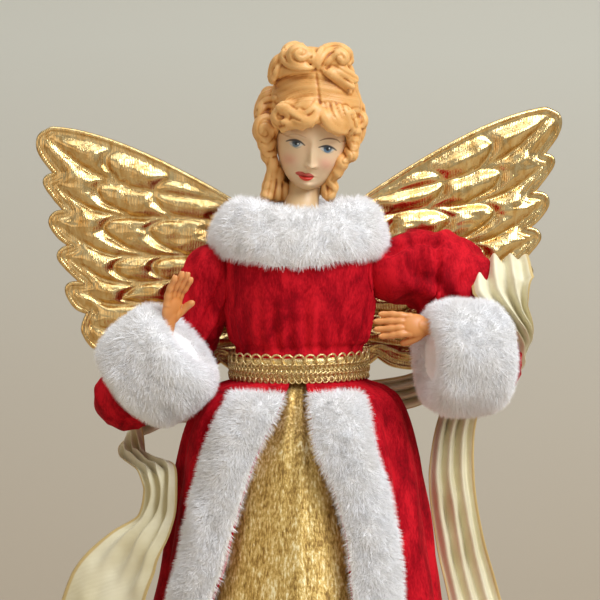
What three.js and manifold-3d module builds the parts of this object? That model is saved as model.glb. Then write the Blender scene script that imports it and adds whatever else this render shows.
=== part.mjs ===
// Angel tree topper: a dressed doll with quilted wings on a paper cone, about 300 mm tall.
// Millimetres, +Z up. The doll faces -Y, and left and right are as seen from its front.
// The origin is on the cone's axis, in the plane that the cone's foot stands on.
import * as THREE from 'three';
import Module from 'manifold-3d';

const wasm = await Module();
wasm.setup();

// Fits
const gap = 0.35;
const overrun = 4;

// Paper cone
const coneFootRadius = 56;
const coneTopRadius = 12.5;
const coneHeight = 170;
const coneWall = 1.5;
const footFlange = 5;
const footThickness = 2;
const spigotRadius = 7;
const spigotHeight = 8;

// Moulded torso on the cone
const torsoHeight = 64;
const waistWide = 21.2;
const waistDeep = 16.3;
const chestWide = 20;
const chestDeep = 15;
const collarboneWide = 15;
const collarboneDeep = 12;
const torsoWall = 2;
const neckSocketOuter = 9.2;
const neckSocketDepth = 12;
const torsoFoot = coneHeight + gap;
const torsoTop = torsoFoot + torsoHeight;

// Shoulder wire and arm pivots
const shoulderOut = 33;
const shoulderBelowTop = 21.35;
const shoulderHeight = torsoTop - shoulderBelowTop;
const wireRadius = 1.3;
const pivotBall = 2.6;
const coreRadius = 3;

// Head and neck moulding: its frame starts at the chin
const chinOut = 3;
const chinFront = 10;
const chinAboveTorso = 10.15;
const chinHeight = torsoTop + chinAboveTorso;
const headTiltDegrees = 7.5;
const headNodDegrees = 13;
const faceWide = 13;
const headDeep = 15.5;
const headTall = 17.5;
const noseLength = 2.6;
const browSet = 0.5;
const neckRadius = 7.6;
const plugRadius = 6.2;
const mouldWall = 1.8;

// Moulded hair
const hairWide = 18.2;
const hairDeep = 17.5;
const hairTall = 17;
const bunWide = 16.5;
const bunDeep = 13.5;
const bunTall = 11.5;
const bunHeight = 42;
const rollRadius = 6.2;
const curlRadius = 5.4;

// Velvet bodice
const bodiceWide = 29.5;
const bodiceDeep = 22.5;
const bodiceWall = 1.4;
const bodiceFold = 0.9;
const bodiceFoldCount = 12;
const bodiceBelowTop = 3.35;
const bodiceTop = torsoTop - bodiceBelowTop;

// Plush collar
const collarWide = 26.5;
const collarDeep = 18.5;
const collarTall = 23;
const collarThick = 12.5;
const collarBelowTop = 4.85;
const collarHeight = torsoTop - collarBelowTop;
const collarDip = 3.5;
const collarFlare = 3;

// Braid belt
const beltAboveCone = 3;
const beltFoot = coneHeight + beltAboveCone;
const beltTall = 11;
const beltThick = 1.5;
const beltScallop = 0.9;

// Skirts: both are gathered at a band inside the belt
const bandAboveCone = 7.5;
const bandTop = coneHeight + bandAboveCone;
const underskirtCloth = 1;
const coatCloth = 1.2;
const hemClearance = 2;
const underskirtEase = 5;
const underskirtHem = coneFootRadius + footFlange + underskirtEase;
const underskirtFold = 1.2;
const underskirtFoldCount = 9;
const coatEase = 7;
const coatHem = underskirtHem + coatEase;
const coatDeepShare = 0.97;
const coatFold = 3;
const coatFoldCount = 12;

// Plush trims on the coat's front edges
const trimWidth = 22;
const trimThick = 7.5;

// Left arm, as places measured from the axis and down from the shoulder
const leftElbowOut = 65;
const leftElbowBack = 8;
const leftElbowDrop = 48;
const leftWristOut = 47.6;
const leftWristFront = 24;
const leftWristDrop = 17.3;
const leftCuffOut = 52;
const leftCuffFront = 20;
const leftCuffDrop = 33.5;

// Right arm
const rightElbowOut = 77;
const rightElbowBack = 8;
const rightElbowDrop = 35;
const rightWristOut = 47.3;
const rightWristFront = 23;
const rightWristDrop = 19;
const rightCuffOut = 61;
const rightCuffFront = 19;
const rightCuffDrop = 30.5;

// Sleeves, cuffs and hands
const shoulderBall = 10.6;
const elbowBall = 13.2;
const sleeveRadius = 11.2;
const sleeveWall = 1.2;
const cuffRadius = 21.5;
const cuffLength = 30;
const palmLength = 9;
const palmWide = 4.6;
const palmThick = 2.2;
const fingerLength = 11;
const fingerRadius = 1.4;
const thumbLength = 6.5;
const wristRadius = 2.6;

// Quilted wings
const wingSpan = 102;
const wingAboveCone = 1;
const wingFoot = coneHeight + wingAboveCone;
const wingTall = 97;
const wingRootOut = 10;
const wingBack = 27;
const wingSweepDegrees = 7;
const leftWingLift = 0;
const rightWingLift = 9;
const wingPlate = 2;
const wingPuff = 5.6;
const pipingRadius = 1.1;

// Sheer ribbon
const ribbonWidth = 38;
const ribbonThick = 0.6;

const finish = (color, roughness, metalness = 0) => new THREE.MeshStandardMaterial(
  { color, roughness, metalness });
const paper = finish(0xb9a184, 0.9);
const torsoPlastic = finish(0xe6d5bf, 0.6);
const facePaint = finish(0xe9d3b8, 0.5);
const hairPaint = finish(0xe8b26c, 0.5);
const handPlastic = finish(0xe3a471, 0.45);
const bareWire = finish(0x8c8c88, 0.4, 1);
const wadding = finish(0xeeeae2, 1);
const redVelvet = finish(0xb80d1c, 0.85);
const whitePlush = finish(0xf0efed, 1);
const goldBraid = finish(0xc49a3c, 0.4, 0.7);
const goldBrocade = finish(0xb98a2e, 0.45, 0.6);
const goldFoil = finish(0xd9a93f, 0.25, 1);
const sheerGold = finish(0xc9bd8d, 0.4, 0.3);
const feltPatch = finish(0x9c1420, 0.95);

const topper = new THREE.Group();

// Shape tools

const at = (x, y, z) => new THREE.Vector3(x, y, z);
const radians = THREE.MathUtils.degToRad;
const mix = THREE.MathUtils.lerp;
const fullTurn = Math.PI * 2;

// Reads a table of rows at a place on its first column, with straight steps between the rows.
function tableAt(rows, place, column) {
  for (let i = 1; i < rows.length; i++) {
    if (place > rows[i][0] && i < rows.length - 1) continue;
    const [low, high] = [rows[i - 1], rows[i]];
    return mix(low[column], high[column], (place - low[0]) / (high[0] - low[0]));
  }
  return rows[0][column];
}

// A closed surface from points and triangles, turned so that its faces point out
function closedGeometry(points, triangles) {
  let volume = 0;
  for (let i = 0; i < triangles.length; i += 3) {
    const [a, b, c] = [points[triangles[i]], points[triangles[i + 1]], points[triangles[i + 2]]];
    volume += a.dot(b.clone().cross(c));
  }
  if (volume < 0) triangles.reverse();
  const geometry = new THREE.BufferGeometry().setFromPoints(points);
  geometry.setIndex(triangles);
  geometry.computeVertexNormals();
  return geometry;
}

// Joins rings of equal count. A looped set joins its last ring to its first, and an open one has flat ends.
// The second half of each ring is split the other way, so that both sides of a cloth bend alike.
function skin(rings, looped = false) {
  const sides = rings[0].length;
  const triangles = [];
  const steps = looped ? rings.length : rings.length - 1;
  for (let r = 0; r < steps; r++) {
    const here = r * sides;
    const next = ((r + 1) % rings.length) * sides;
    for (let s = 0; s < sides; s++) {
      const t = (s + 1) % sides;
      if (s < sides / 2) triangles.push(here + s, here + t, next + t, here + s, next + t, next + s);
      else triangles.push(here + s, here + t, next + s, here + t, next + t, next + s);
    }
  }
  const closeEnd = (start, turned) => {
    for (let low = 0, high = sides - 1; low + 1 < high; low++, high--) {
      const faces = [[low, low + 1, high], [low + 1, high - 1, high]];
      for (const [a, b, c] of faces) {
        if (a === b || b === c) continue;
        triangles.push(start + a, start + (turned ? c : b), start + (turned ? b : c));
      }
    }
  };
  if (!looped) {
    closeEnd(0, true);
    closeEnd((rings.length - 1) * sides, false);
  }
  return closedGeometry(rings.flat(), triangles);
}

function solidOf(geometry) {
  return new wasm.Manifold(new wasm.Mesh({
    numProp: 3,
    vertProperties: new Float32Array(geometry.getAttribute('position').array),
    triVerts: new Uint32Array(geometry.index.array),
  }));
}

const join = (...solids) => solids.reduce((whole, next) => whole.add(next));

// The largest body of a solid, as a geometry
function geometryOf(solid) {
  const body = solid.decompose().sort((a, b) => b.volume() - a.volume())[0];
  const mesh = body.getMesh();
  const geometry = new THREE.BufferGeometry();
  geometry.setAttribute('position', new THREE.BufferAttribute(new Float32Array(mesh.vertProperties), 3));
  geometry.setIndex(new THREE.BufferAttribute(new Uint32Array(mesh.triVerts), 1));
  geometry.computeVertexNormals();
  return geometry;
}

function piece(name, shape, material) {
  const geometry = shape.isBufferGeometry ? shape : geometryOf(shape);
  const mesh = new THREE.Mesh(geometry, material);
  mesh.name = name;
  topper.add(mesh);
}

function ellipseRing(wide, deep, height, sides, centre = at(0, 0, 0)) {
  return Array.from({ length: sides }, (_, i) => {
    const turn = (i / sides) * fullTurn;
    return at(centre.x + wide * Math.sin(turn), centre.y - deep * Math.cos(turn), height);
  });
}

// A level loft through rows of half width, half depth and height
const loft = (rows, sides, looped = false) => skin(
  rows.map(([w, d, z]) => ellipseRing(w, d, z, sides)), looped);

// A round body: placePoint turns each point of a unit ball into its own place.
function roundBody(across, down, placePoint) {
  const points = [placePoint(at(0, 0, 1))];
  for (let j = 1; j < down; j++) {
    const tilt = (j / down) * Math.PI;
    const ring = ellipseRing(Math.sin(tilt), Math.sin(tilt), Math.cos(tilt), across);
    points.push(...ring.map(placePoint));
  }
  points.push(placePoint(at(0, 0, -1)));
  const foot = points.length - 1;
  const triangles = [];
  for (let i = 0; i < across; i++) {
    const next = (i + 1) % across;
    triangles.push(0, 1 + i, 1 + next, foot, foot - across + next, foot - across + i);
    for (let j = 0; j < down - 2; j++) {
      const here = 1 + j * across;
      const below = here + across;
      triangles.push(here + i, below + i, below + next, here + i, below + next, here + next);
    }
  }
  return solidOf(closedGeometry(points, triangles));
}

const ellipsoid = (centre, radii, across, down, frame = new THREE.Matrix4()) => roundBody(
  across, down, (unit) => unit.multiply(radii).applyMatrix4(frame).add(centre));

const ball = (centre, radius, across = 16, down = 10) => ellipsoid(
  centre, at(radius, radius, radius), across, down);

// Round rings along a path, with a radius for each share of its length.
// No path runs along the skew direction.
const skewUpward = at(0.31, 0.47, 0.83);
function bar(path, radiusAt, sides, steps, upward = skewUpward) {
  return Array.from({ length: steps + 1 }, (_, i) => {
    const share = i / steps;
    const centre = path.getPoint(share);
    const along = path.getTangent(share).normalize();
    const sideways = upward.clone().cross(along).normalize();
    const over = along.clone().cross(sideways);
    return Array.from({ length: sides }, (_, s) => centre.clone()
      .addScaledVector(sideways, radiusAt(share) * Math.cos((s / sides) * fullTurn))
      .addScaledVector(over, radiusAt(share) * Math.sin((s / sides) * fullTurn)));
  });
}

const straight = (from, to) => new THREE.LineCurve3(from, to);
const rod = (from, to, radius, sides = 10) => solidOf(
  skin(bar(straight(from, to), () => radius, sides, 1)));
const tube = (path, radiusAt, sides, steps, upward) => solidOf(
  skin(bar(path, radiusAt, sides, steps, upward)));

// Paper cone: foot flange, closed top and a spigot for the torso
const coneSides = 32;
piece('base_cone', join(
  solidOf(loft([
    [coneFootRadius + footFlange, coneFootRadius + footFlange, 0],
    [coneFootRadius + footFlange, coneFootRadius + footFlange, footThickness],
    [coneFootRadius, coneFootRadius, footThickness],
    [coneTopRadius, coneTopRadius, coneHeight],
  ], coneSides)).subtract(solidOf(loft([
    [coneFootRadius - coneWall, coneFootRadius - coneWall, -gap],
    [coneFootRadius - coneWall, coneFootRadius - coneWall, 0],
    [coneTopRadius - coneWall, coneTopRadius - coneWall, coneHeight - coneWall],
  ], coneSides))),
  solidOf(loft([
    [spigotRadius, spigotRadius, coneHeight - coneWall / 2],
    [spigotRadius, spigotRadius, coneHeight + spigotHeight],
  ], 20)),
), paper);

// Torso: hollow, with a sleeve on the cone's spigot, a neck socket, and holes for the shoulder wire
const torsoSides = 24;
const leftShoulder = at(-shoulderOut, 0, shoulderHeight);
const rightShoulder = at(shoulderOut, 0, shoulderHeight);
const torsoOutline = [
  [waistWide, waistDeep, torsoFoot],
  [waistWide - coatCloth, waistDeep - coatCloth, torsoFoot + 0.28 * torsoHeight],
  [chestWide, chestDeep, torsoFoot + 0.6 * torsoHeight],
  [collarboneWide, collarboneDeep, torsoFoot + 0.84 * torsoHeight],
  [neckSocketOuter, neckSocketOuter, torsoTop - 2 * torsoWall],
  [neckSocketOuter, neckSocketOuter, torsoTop],
];
const torsoBore = [
  [spigotRadius + gap, spigotRadius + gap, torsoFoot - gap],
  [spigotRadius + gap, spigotRadius + gap, torsoFoot + spigotHeight],
  [waistWide - 3 * torsoWall, waistDeep - 3 * torsoWall, torsoFoot + 0.3 * torsoHeight],
  [chestWide - 2 * torsoWall, chestDeep - 2 * torsoWall, torsoFoot + 0.6 * torsoHeight],
  [plugRadius + gap, plugRadius + gap, torsoTop - neckSocketDepth],
  [plugRadius + gap, plugRadius + gap, torsoTop + gap],
];
const torsoBlank = solidOf(loft(torsoOutline, torsoSides));
piece('torso_form', torsoBlank
  .subtract(solidOf(loft(torsoBore, 16)))
  .subtract(rod(leftShoulder, rightShoulder, wireRadius + gap)), torsoPlastic);

const wireOut = shoulderOut - pivotBall - gap;
piece('shoulder_wire', rod(
  at(-wireOut, 0, shoulderHeight), at(wireOut, 0, shoulderHeight), wireRadius, 8), bareWire);

// Head: an egg with a jaw and nose on a neck with a plug, open from the plug up
const chin = at(chinOut, -chinFront, chinHeight);
const headFrame = new THREE.Matrix4().makeRotationFromEuler(
  new THREE.Euler(radians(headNodDegrees), radians(headTiltDegrees), 0, 'YXZ'));
const inHead = (x, y, z) => at(x, y, z).applyMatrix4(headFrame).add(chin);
const skullBack = headDeep - browSet;
const skullCentre = inHead(0, skullBack, headTall);

const jawShare = 0.4;
const noseHeightShare = -0.45;
const noseSpreadShare = 0.17;
const eggSides = 16;
const eggRows = 10;
const headEgg = (grow = 0) => roundBody(eggSides, eggRows, (unit) => {
  const low = Math.min(0, unit.z) ** 2;
  const above = unit.z - noseHeightShare;
  const nose = Math.exp(-((unit.x / noseSpreadShare) ** 2) - (above / noseSpreadShare) ** 2);
  return at(
    unit.x * (faceWide + grow) * (1 - jawShare * low),
    (unit.y - jawShare * 0.5 * low) * (headDeep + grow) - (unit.y < 0 ? nose * noseLength : 0),
    unit.z * (headTall + grow),
  ).applyMatrix4(headFrame).add(skullCentre);
});

const neckFoot = torsoTop + gap;
const neckTop = inHead(0, skullBack, 0.6 * headTall);
function neckLoft(grow, foot) {
  const rows = [0, 0.35, 0.7, 1];
  const pinchShare = 0.1;
  return solidOf(skin(rows.map((share) => {
    const centre = at(mix(0, neckTop.x, share), mix(0, neckTop.y, share), 0);
    const radius = neckRadius * (1 - pinchShare * Math.sin(share * Math.PI)) + grow;
    return ellipseRing(radius, radius, mix(foot, neckTop.z, share), 14, centre);
  })));
}
const plugFoot = torsoTop - neckSocketDepth + gap;
const plugWay = plugRadius - mouldWall;
const headBore = join(
  rod(at(0, 0, plugFoot - overrun), at(0, 0, neckFoot + plugRadius), plugWay, 12),
  rod(at(0, 0, neckFoot), skullCentre, plugWay, 12),
  ellipsoid(skullCentre, at(faceWide, headDeep, headTall).multiplyScalar(0.6), 12, 8, headFrame),
);
const plug = solidOf(loft([
  [plugRadius, plugRadius, plugFoot],
  [plugRadius, plugRadius, neckFoot + gap],
], 14));
piece('head', join(headEgg(), neckLoft(0, neckFoot), plug).subtract(headBore), facePaint);

// Hair: cap, bun with two rolls, fringe, side curls and nape ringlets
const hairBack = skullBack + 1.5 * gap;
const hairBlob = (x, y, z, radii, across = 8, down = 6) => ellipsoid(
  inHead(x, y, z), radii, across, down, headFrame);
const sideCurlShares = [[1.14, 0.35, 1.55], [1.18, 0.25, 1.1], [1.11, 0.2, 0.66], [0.97, 0.25, 0.3]];
const rollSize = at(rollRadius, bunDeep * 0.8, rollRadius);
const fringeSize = at(0.62 * faceWide, curlRadius, curlRadius);
const curlSize = at(curlRadius, curlRadius, curlRadius);
const faceOpening = at(faceWide, headDeep, headTall);
let hair = join(
  hairBlob(0, hairBack, 1.28 * headTall, at(hairWide, hairDeep, hairTall), 14, 8),
  hairBlob(-0.18 * bunWide, hairBack, bunHeight, at(bunWide, bunDeep, bunTall), 12, 7),
  hairBlob(-0.42 * bunWide, 0.6 * hairBack, bunHeight + 0.6 * bunTall, rollSize),
  hairBlob(0.32 * bunWide, 0.6 * hairBack, bunHeight + 0.6 * bunTall, rollSize),
);
hair = hair.subtract(hairBlob(0, -0.25 * headDeep, 0.52 * headTall, faceOpening, 12, 8));
for (const side of [-1, 1]) {
  hair = hair.add(hairBlob(side * 0.55 * faceWide, 0.12 * headDeep, 1.62 * headTall, fringeSize));
  for (const [out, back, up] of sideCurlShares) {
    hair = hair.add(hairBlob(side * out * faceWide, back * headDeep, up * headTall, curlSize, 7, 5));
  }
  const nape = at(side * (neckRadius + curlRadius), 0.4 * neckRadius, chinHeight - 0.3 * curlRadius);
  const behindEar = inHead(side * 0.85 * faceWide, 0.8 * headDeep, 0.4 * headTall);
  hair = hair.add(rod(behindEar, nape, 0.7 * curlRadius, 6));
}
piece('hair', hair.subtract(headEgg(gap)).subtract(neckLoft(gap, neckFoot - overrun)), hairPaint);

// Belt, and the layers that it holds
const underskirtOut = gap + underskirtCloth;
const coatOut = underskirtOut + gap + coatCloth;
const beltOut = coatOut + gap;
const beltSides = 44;
function beltRing(out, height, scallop) {
  return ellipseRing(waistWide + out, waistDeep + out, height, beltSides)
    .map((p, i) => p.setZ(height + (i % 2 ? scallop : 0)));
}
piece('belt_braid', skin([
  beltRing(beltOut, beltFoot, 0),
  beltRing(beltOut + beltThick, beltFoot, 0),
  beltRing(beltOut + beltThick, beltFoot + beltTall, beltScallop),
  beltRing(beltOut, beltFoot + beltTall, beltScallop),
], true), goldBraid);

// Bodice: gathered at the waist, bloused over the belt, and opened for both shoulders
const bodiceFoot = bandTop + gap;
const bodiceWaistOut = beltOut - gap;
const bodiceShares = [
  [0, 0, 0], [0.13, 0, 0], [0.2, 0.5, 0.45], [0.42, 0.88, 0.95],
  [0.68, 1, 1], [0.88, 0.55, 0.5], [1, -0.5, -0.35],
];
const clothSides = 36;
function bodiceRing([up, wide, deep], out) {
  const height = mix(bodiceFoot, bodiceTop, up);
  const fade = up > bodiceShares[1][0] && up < 1 ? 1 - up : 0;
  const halfWide = mix(waistWide + bodiceWaistOut, bodiceWide, wide) + out;
  const halfDeep = mix(waistDeep + bodiceWaistOut, bodiceDeep, deep) + out;
  return ellipseRing(halfWide, halfDeep, height, clothSides).map((p, i) => {
    const fold = -bodiceFold * fade * (1 - Math.cos((i / clothSides) * fullTurn * bodiceFoldCount));
    const reach = Math.hypot(p.x, p.y);
    return at(p.x * (1 + fold / reach), p.y * (1 + fold / reach), p.z);
  });
}
const bodiceRings = (out) => bodiceShares.map((row) => bodiceRing(row, out));
const bodiceShell = solidOf(skin([...bodiceRings(0), ...bodiceRings(-bodiceWall).reverse()], true));
const grownBodice = solidOf(skin(bodiceRings(2 * gap)));
piece('bodice', bodiceShell
  .subtract(ball(leftShoulder, shoulderBall + gap))
  .subtract(ball(rightShoulder, shoulderBall + gap)), redVelvet);

// Collar: a fat plush ring that flares over the shoulders and dips in front
const collarSteps = 28;
const collarSection = 8;
const collarRings = Array.from({ length: collarSteps }, (_, i) => {
  const turn = (i / collarSteps) * fullTurn;
  const front = Math.max(0, Math.cos(turn)) ** 3;
  return Array.from({ length: collarSection }, (_, s) => {
    const round = (s / collarSection) * fullTurn;
    const up = 0.5 * collarTall * Math.sin(round);
    const out = 0.5 * collarThick * Math.cos(round) - collarFlare * Math.sin(round);
    const height = collarHeight + up - collarDip * front;
    return at((collarWide + out) * Math.sin(turn), -(collarDeep + out) * Math.cos(turn), height);
  });
});
const collarClear = join(
  grownBodice,
  solidOf(loft(torsoOutline.map(([w, d, z]) => [w + gap, d + gap, z + gap]), torsoSides)),
  ball(leftShoulder, shoulderBall + collarFlare, 12, 8),
  ball(rightShoulder, shoulderBall + collarFlare, 12, 8),
);
piece('fur_collar', solidOf(skin(collarRings, true)).subtract(collarClear), whitePlush);

// Skirts. Rows give the share of the drop below the band's top, and of the spread from waist to hem.
const skirtDrop = bandTop - hemClearance;
const coatShares = [
  [0, 0], [0.026, 0], [0.036, 0.14], [0.07, 0.29], [0.155, 0.42],
  [0.3, 0.52], [0.5, 0.63], [0.75, 0.81], [1, 1],
];
const underskirtShares = [
  [0, 0], [0.028, 0], [0.045, 0.06], [0.075, 0.15], [0.155, 0.36],
  [0.3, 0.49], [0.5, 0.61], [0.75, 0.79], [1, 1],
];
const skirtShade = 0.12;

// A profile of spread and height, moved along its own normal by a cloth's thickness
function insetProfile(rows, thick) {
  return rows.map(([out, z], i) => {
    const [o0, z0] = rows[Math.max(0, i - 1)];
    const [o1, z1] = rows[Math.min(rows.length - 1, i + 1)];
    const slant = Math.hypot(o1 - o0, z1 - z0);
    const flatEnd = i === 0 || i === rows.length - 1;
    const down = flatEnd ? 0 : (thick * (o1 - o0)) / slant;
    return [out - (flatEnd ? thick : (thick * (z0 - z1)) / slant), z - down];
  });
}
const profileOf = (shares, waistOut, hem) => shares.map(([down, spread]) => [
  waistWide + waistOut + spread * (hem - waistWide - waistOut), bandTop - down * skirtDrop]);
// The waist's ellipse rounds off towards the hem.
function skirtPoint(turn, [out, z], waistOut, deepShare, hem, fold) {
  const band = waistWide + waistOut;
  const round = THREE.MathUtils.clamp((out - band) / (hem - band), 0, 1) ** 0.6;
  const deep = out - mix(waistWide - waistDeep, out * (1 - deepShare), round);
  return at((out + fold) * Math.sin(turn), -(deep + fold) * Math.cos(turn), z);
}

const underskirtProfile = profileOf(underskirtShares, underskirtOut, underskirtHem);
const underskirtRing = (row) => Array.from({ length: clothSides }, (_, i) => {
  const turn = (i / clothSides) * fullTurn;
  const depth = underskirtFold * Math.max(0, (bandTop - row[1]) / skirtDrop - skirtShade);
  const fold = depth * (Math.cos(turn * underskirtFoldCount) - 1);
  return skirtPoint(turn, row, underskirtOut, 1, underskirtHem, fold);
});
piece('underskirt', skin([
  ...underskirtProfile.map(underskirtRing),
  ...insetProfile(underskirtProfile, underskirtCloth).reverse().map(underskirtRing),
], true), goldBrocade);

// The coat's front edges, in degrees from the front, by the share of the drop
const coatEdgeDegreeShares = [
  [0, 7, 6], [0.07, 10.5, 6], [0.155, 19, 8.5], [0.24, 24.5, 15.5], [0.32, 28.5, 19.5], [0.4, 32, 21],
  [0.5, 37, 21.5], [0.75, 41, 24], [1, 44, 27],
];
const coatProfile = profileOf(coatShares, coatOut, coatHem);
const coatEdge = (side, z) => radians(
  tableAt(coatEdgeDegreeShares, (bandTop - z) / skirtDrop, side < 0 ? 1 : 2));
function coatPoint(turn, row, out = 0) {
  const down = (bandTop - row[1]) / skirtDrop;
  const side = turn > Math.PI ? -1 : 1;
  const fromEdge = (side < 0 ? fullTurn - turn : turn) - coatEdge(side, row[1]);
  const trimEnd = trimWidth / row[0];
  const clearOfTrim = THREE.MathUtils.smoothstep(fromEdge, trimEnd, trimEnd + (2 * trimThick) / row[0]);
  const deepening = THREE.MathUtils.clamp(down / skirtShade, 0, 1) * Math.min(1, skirtShade + down);
  const fold = 0.5 * coatFold * clearOfTrim * deepening * (Math.cos(turn * coatFoldCount) - 1);
  return skirtPoint(turn, [row[0] + out, row[1]], coatOut + out, coatDeepShare, coatHem, fold);
}
const coatRow = (down) => [
  mix(waistWide + coatOut, coatHem, tableAt(coatShares, down, 1)), bandTop - down * skirtDrop];
const coatInner = insetProfile(coatProfile, coatCloth).reverse();
const coatColumns = 48;
const coatColumn = (share) => [...coatProfile, ...coatInner].map((row) => coatPoint(
  mix(coatEdge(1, row[1]), fullTurn - coatEdge(-1, row[1]), share), row));
piece('coat_skirt', skin(Array.from(
  { length: coatColumns + 1 }, (_, i) => coatColumn(i / coatColumns))), redVelvet);

// Trims: each follows the coat's edge from below the belt to the hem
const trimAcross = 5;
const trimShares = [
  [0.04, 1.1], [0.07, 1.15], [0.155, 1.15], [0.3, 1.08], [0.5, 1.05], [0.75, 1.1], [1, 1.1],
];
for (const [name, side] of [['left_fur_trim', -1], ['right_fur_trim', 1]]) {
  piece(name, skin(trimShares.map(([down, breadth]) => {
    const row = coatRow(down);
    const edge = coatEdge(side, row[1]);
    const across = (share, out) => {
      const turn = edge + ((share * breadth - 0.1) * trimWidth) / row[0];
      return coatPoint(side < 0 ? fullTurn - turn : turn, row, out);
    };
    const crown = [];
    const base = [];
    for (let i = 0; i <= trimAcross; i++) {
      const share = i / trimAcross;
      crown.push(across(share, gap + trimThick * (0.3 + 0.7 * Math.sin(Math.PI * share))));
      base.unshift(across(share, 2 * gap));
    }
    return [...crown, ...base];
  })), whitePlush);
}

// Arms: wadded wire cores, sleeves, cuffs and hands
const cuffShares = [[-0.5, 0.72], [-0.4, 0.93], [-0.16, 1], [0.16, 1], [0.4, 0.93], [0.5, 0.72]];
const handSpreadShares = [[-1, 0.84], [-0.36, 1], [0.34, 0.98], [0.96, 0.8]];
const arms = [
  {
    side: 'left',
    shoulder: leftShoulder,
    elbow: at(-leftElbowOut, leftElbowBack, shoulderHeight - leftElbowDrop),
    wrist: at(-leftWristOut, -leftWristFront, shoulderHeight - leftWristDrop),
    cuff: at(-leftCuffOut, -leftCuffFront, shoulderHeight - leftCuffDrop),
    bendShares: [[0.14, 0.4, 0.24], [0.34, 1.15, 0.54], [0.68, 1.5, 0.82]],
    cuffAim: at(0.74, -0.2, 0.64),
    fingerAim: at(0.22, -0.12, 0.97),
    palmAim: at(0.8, -0.6, -0.25),
    thumbSide: 1,
  },
  {
    side: 'right',
    shoulder: rightShoulder,
    elbow: at(rightElbowOut, rightElbowBack, shoulderHeight - rightElbowDrop),
    wrist: at(rightWristOut, -rightWristFront, shoulderHeight - rightWristDrop),
    cuff: at(rightCuffOut, -rightCuffFront, shoulderHeight - rightCuffDrop),
    bendShares: [[0.22, 0.5, -0.06], [0.46, 0.95, -0.02], [0.76, 1.15, 0.28]],
    cuffAim: at(-0.93, -0.3, 0.02),
    fingerAim: at(-0.98, -0.12, 0.06),
    palmAim: at(-0.1, 0.95, -0.3),
    thumbSide: 1,
  },
];

function hand({ wrist, fingerAim, palmAim, thumbSide }) {
  const along = fingerAim.clone().normalize();
  const facing = palmAim.clone().addScaledVector(along, -palmAim.dot(along)).normalize();
  const across = along.clone().cross(facing).normalize();
  const place = (forward, sideways, out) => wrist.clone()
    .addScaledVector(along, forward).addScaledVector(across, sideways).addScaledVector(facing, out);
  const palmFrame = new THREE.Matrix4().makeBasis(across, facing, along);
  const palm = place(0.6 * palmLength, 0, 0);
  let shape = ellipsoid(palm, at(palmWide, palmThick, 0.6 * palmLength), 8, 5, palmFrame)
    .add(rod(wrist, palm, 0.85 * wristRadius, 8))
    .add(ball(wrist, wristRadius, 6, 5));
  const spread = palmWide - fingerRadius;
  for (const [row, reach] of handSpreadShares) {
    const length = fingerLength * reach;
    const path = new THREE.QuadraticBezierCurve3(
      place(0.7 * palmLength, row * spread, 0),
      place(palmLength + 0.4 * length, row * spread * 1.25, 0),
      place(palmLength + length, row * spread * 1.35, 0.25 * length),
    );
    shape = shape.add(tube(path, (t) => fingerRadius * (1 - 0.35 * t * t), 5, 2, across));
  }
  const thumbOut = thumbSide * (palmWide + 0.2 * thumbLength);
  const thumb = new THREE.QuadraticBezierCurve3(
    place(0.2 * palmLength, 0, 0),
    place(0.5 * palmLength, thumbOut, 0.3 * thumbLength),
    place(0.8 * palmLength + 0.3 * thumbLength, thumbOut, 0.8 * thumbLength),
  );
  return shape.add(tube(thumb, (t) => fingerRadius * (1.05 - 0.3 * t), 5, 2, facing));
}

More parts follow.
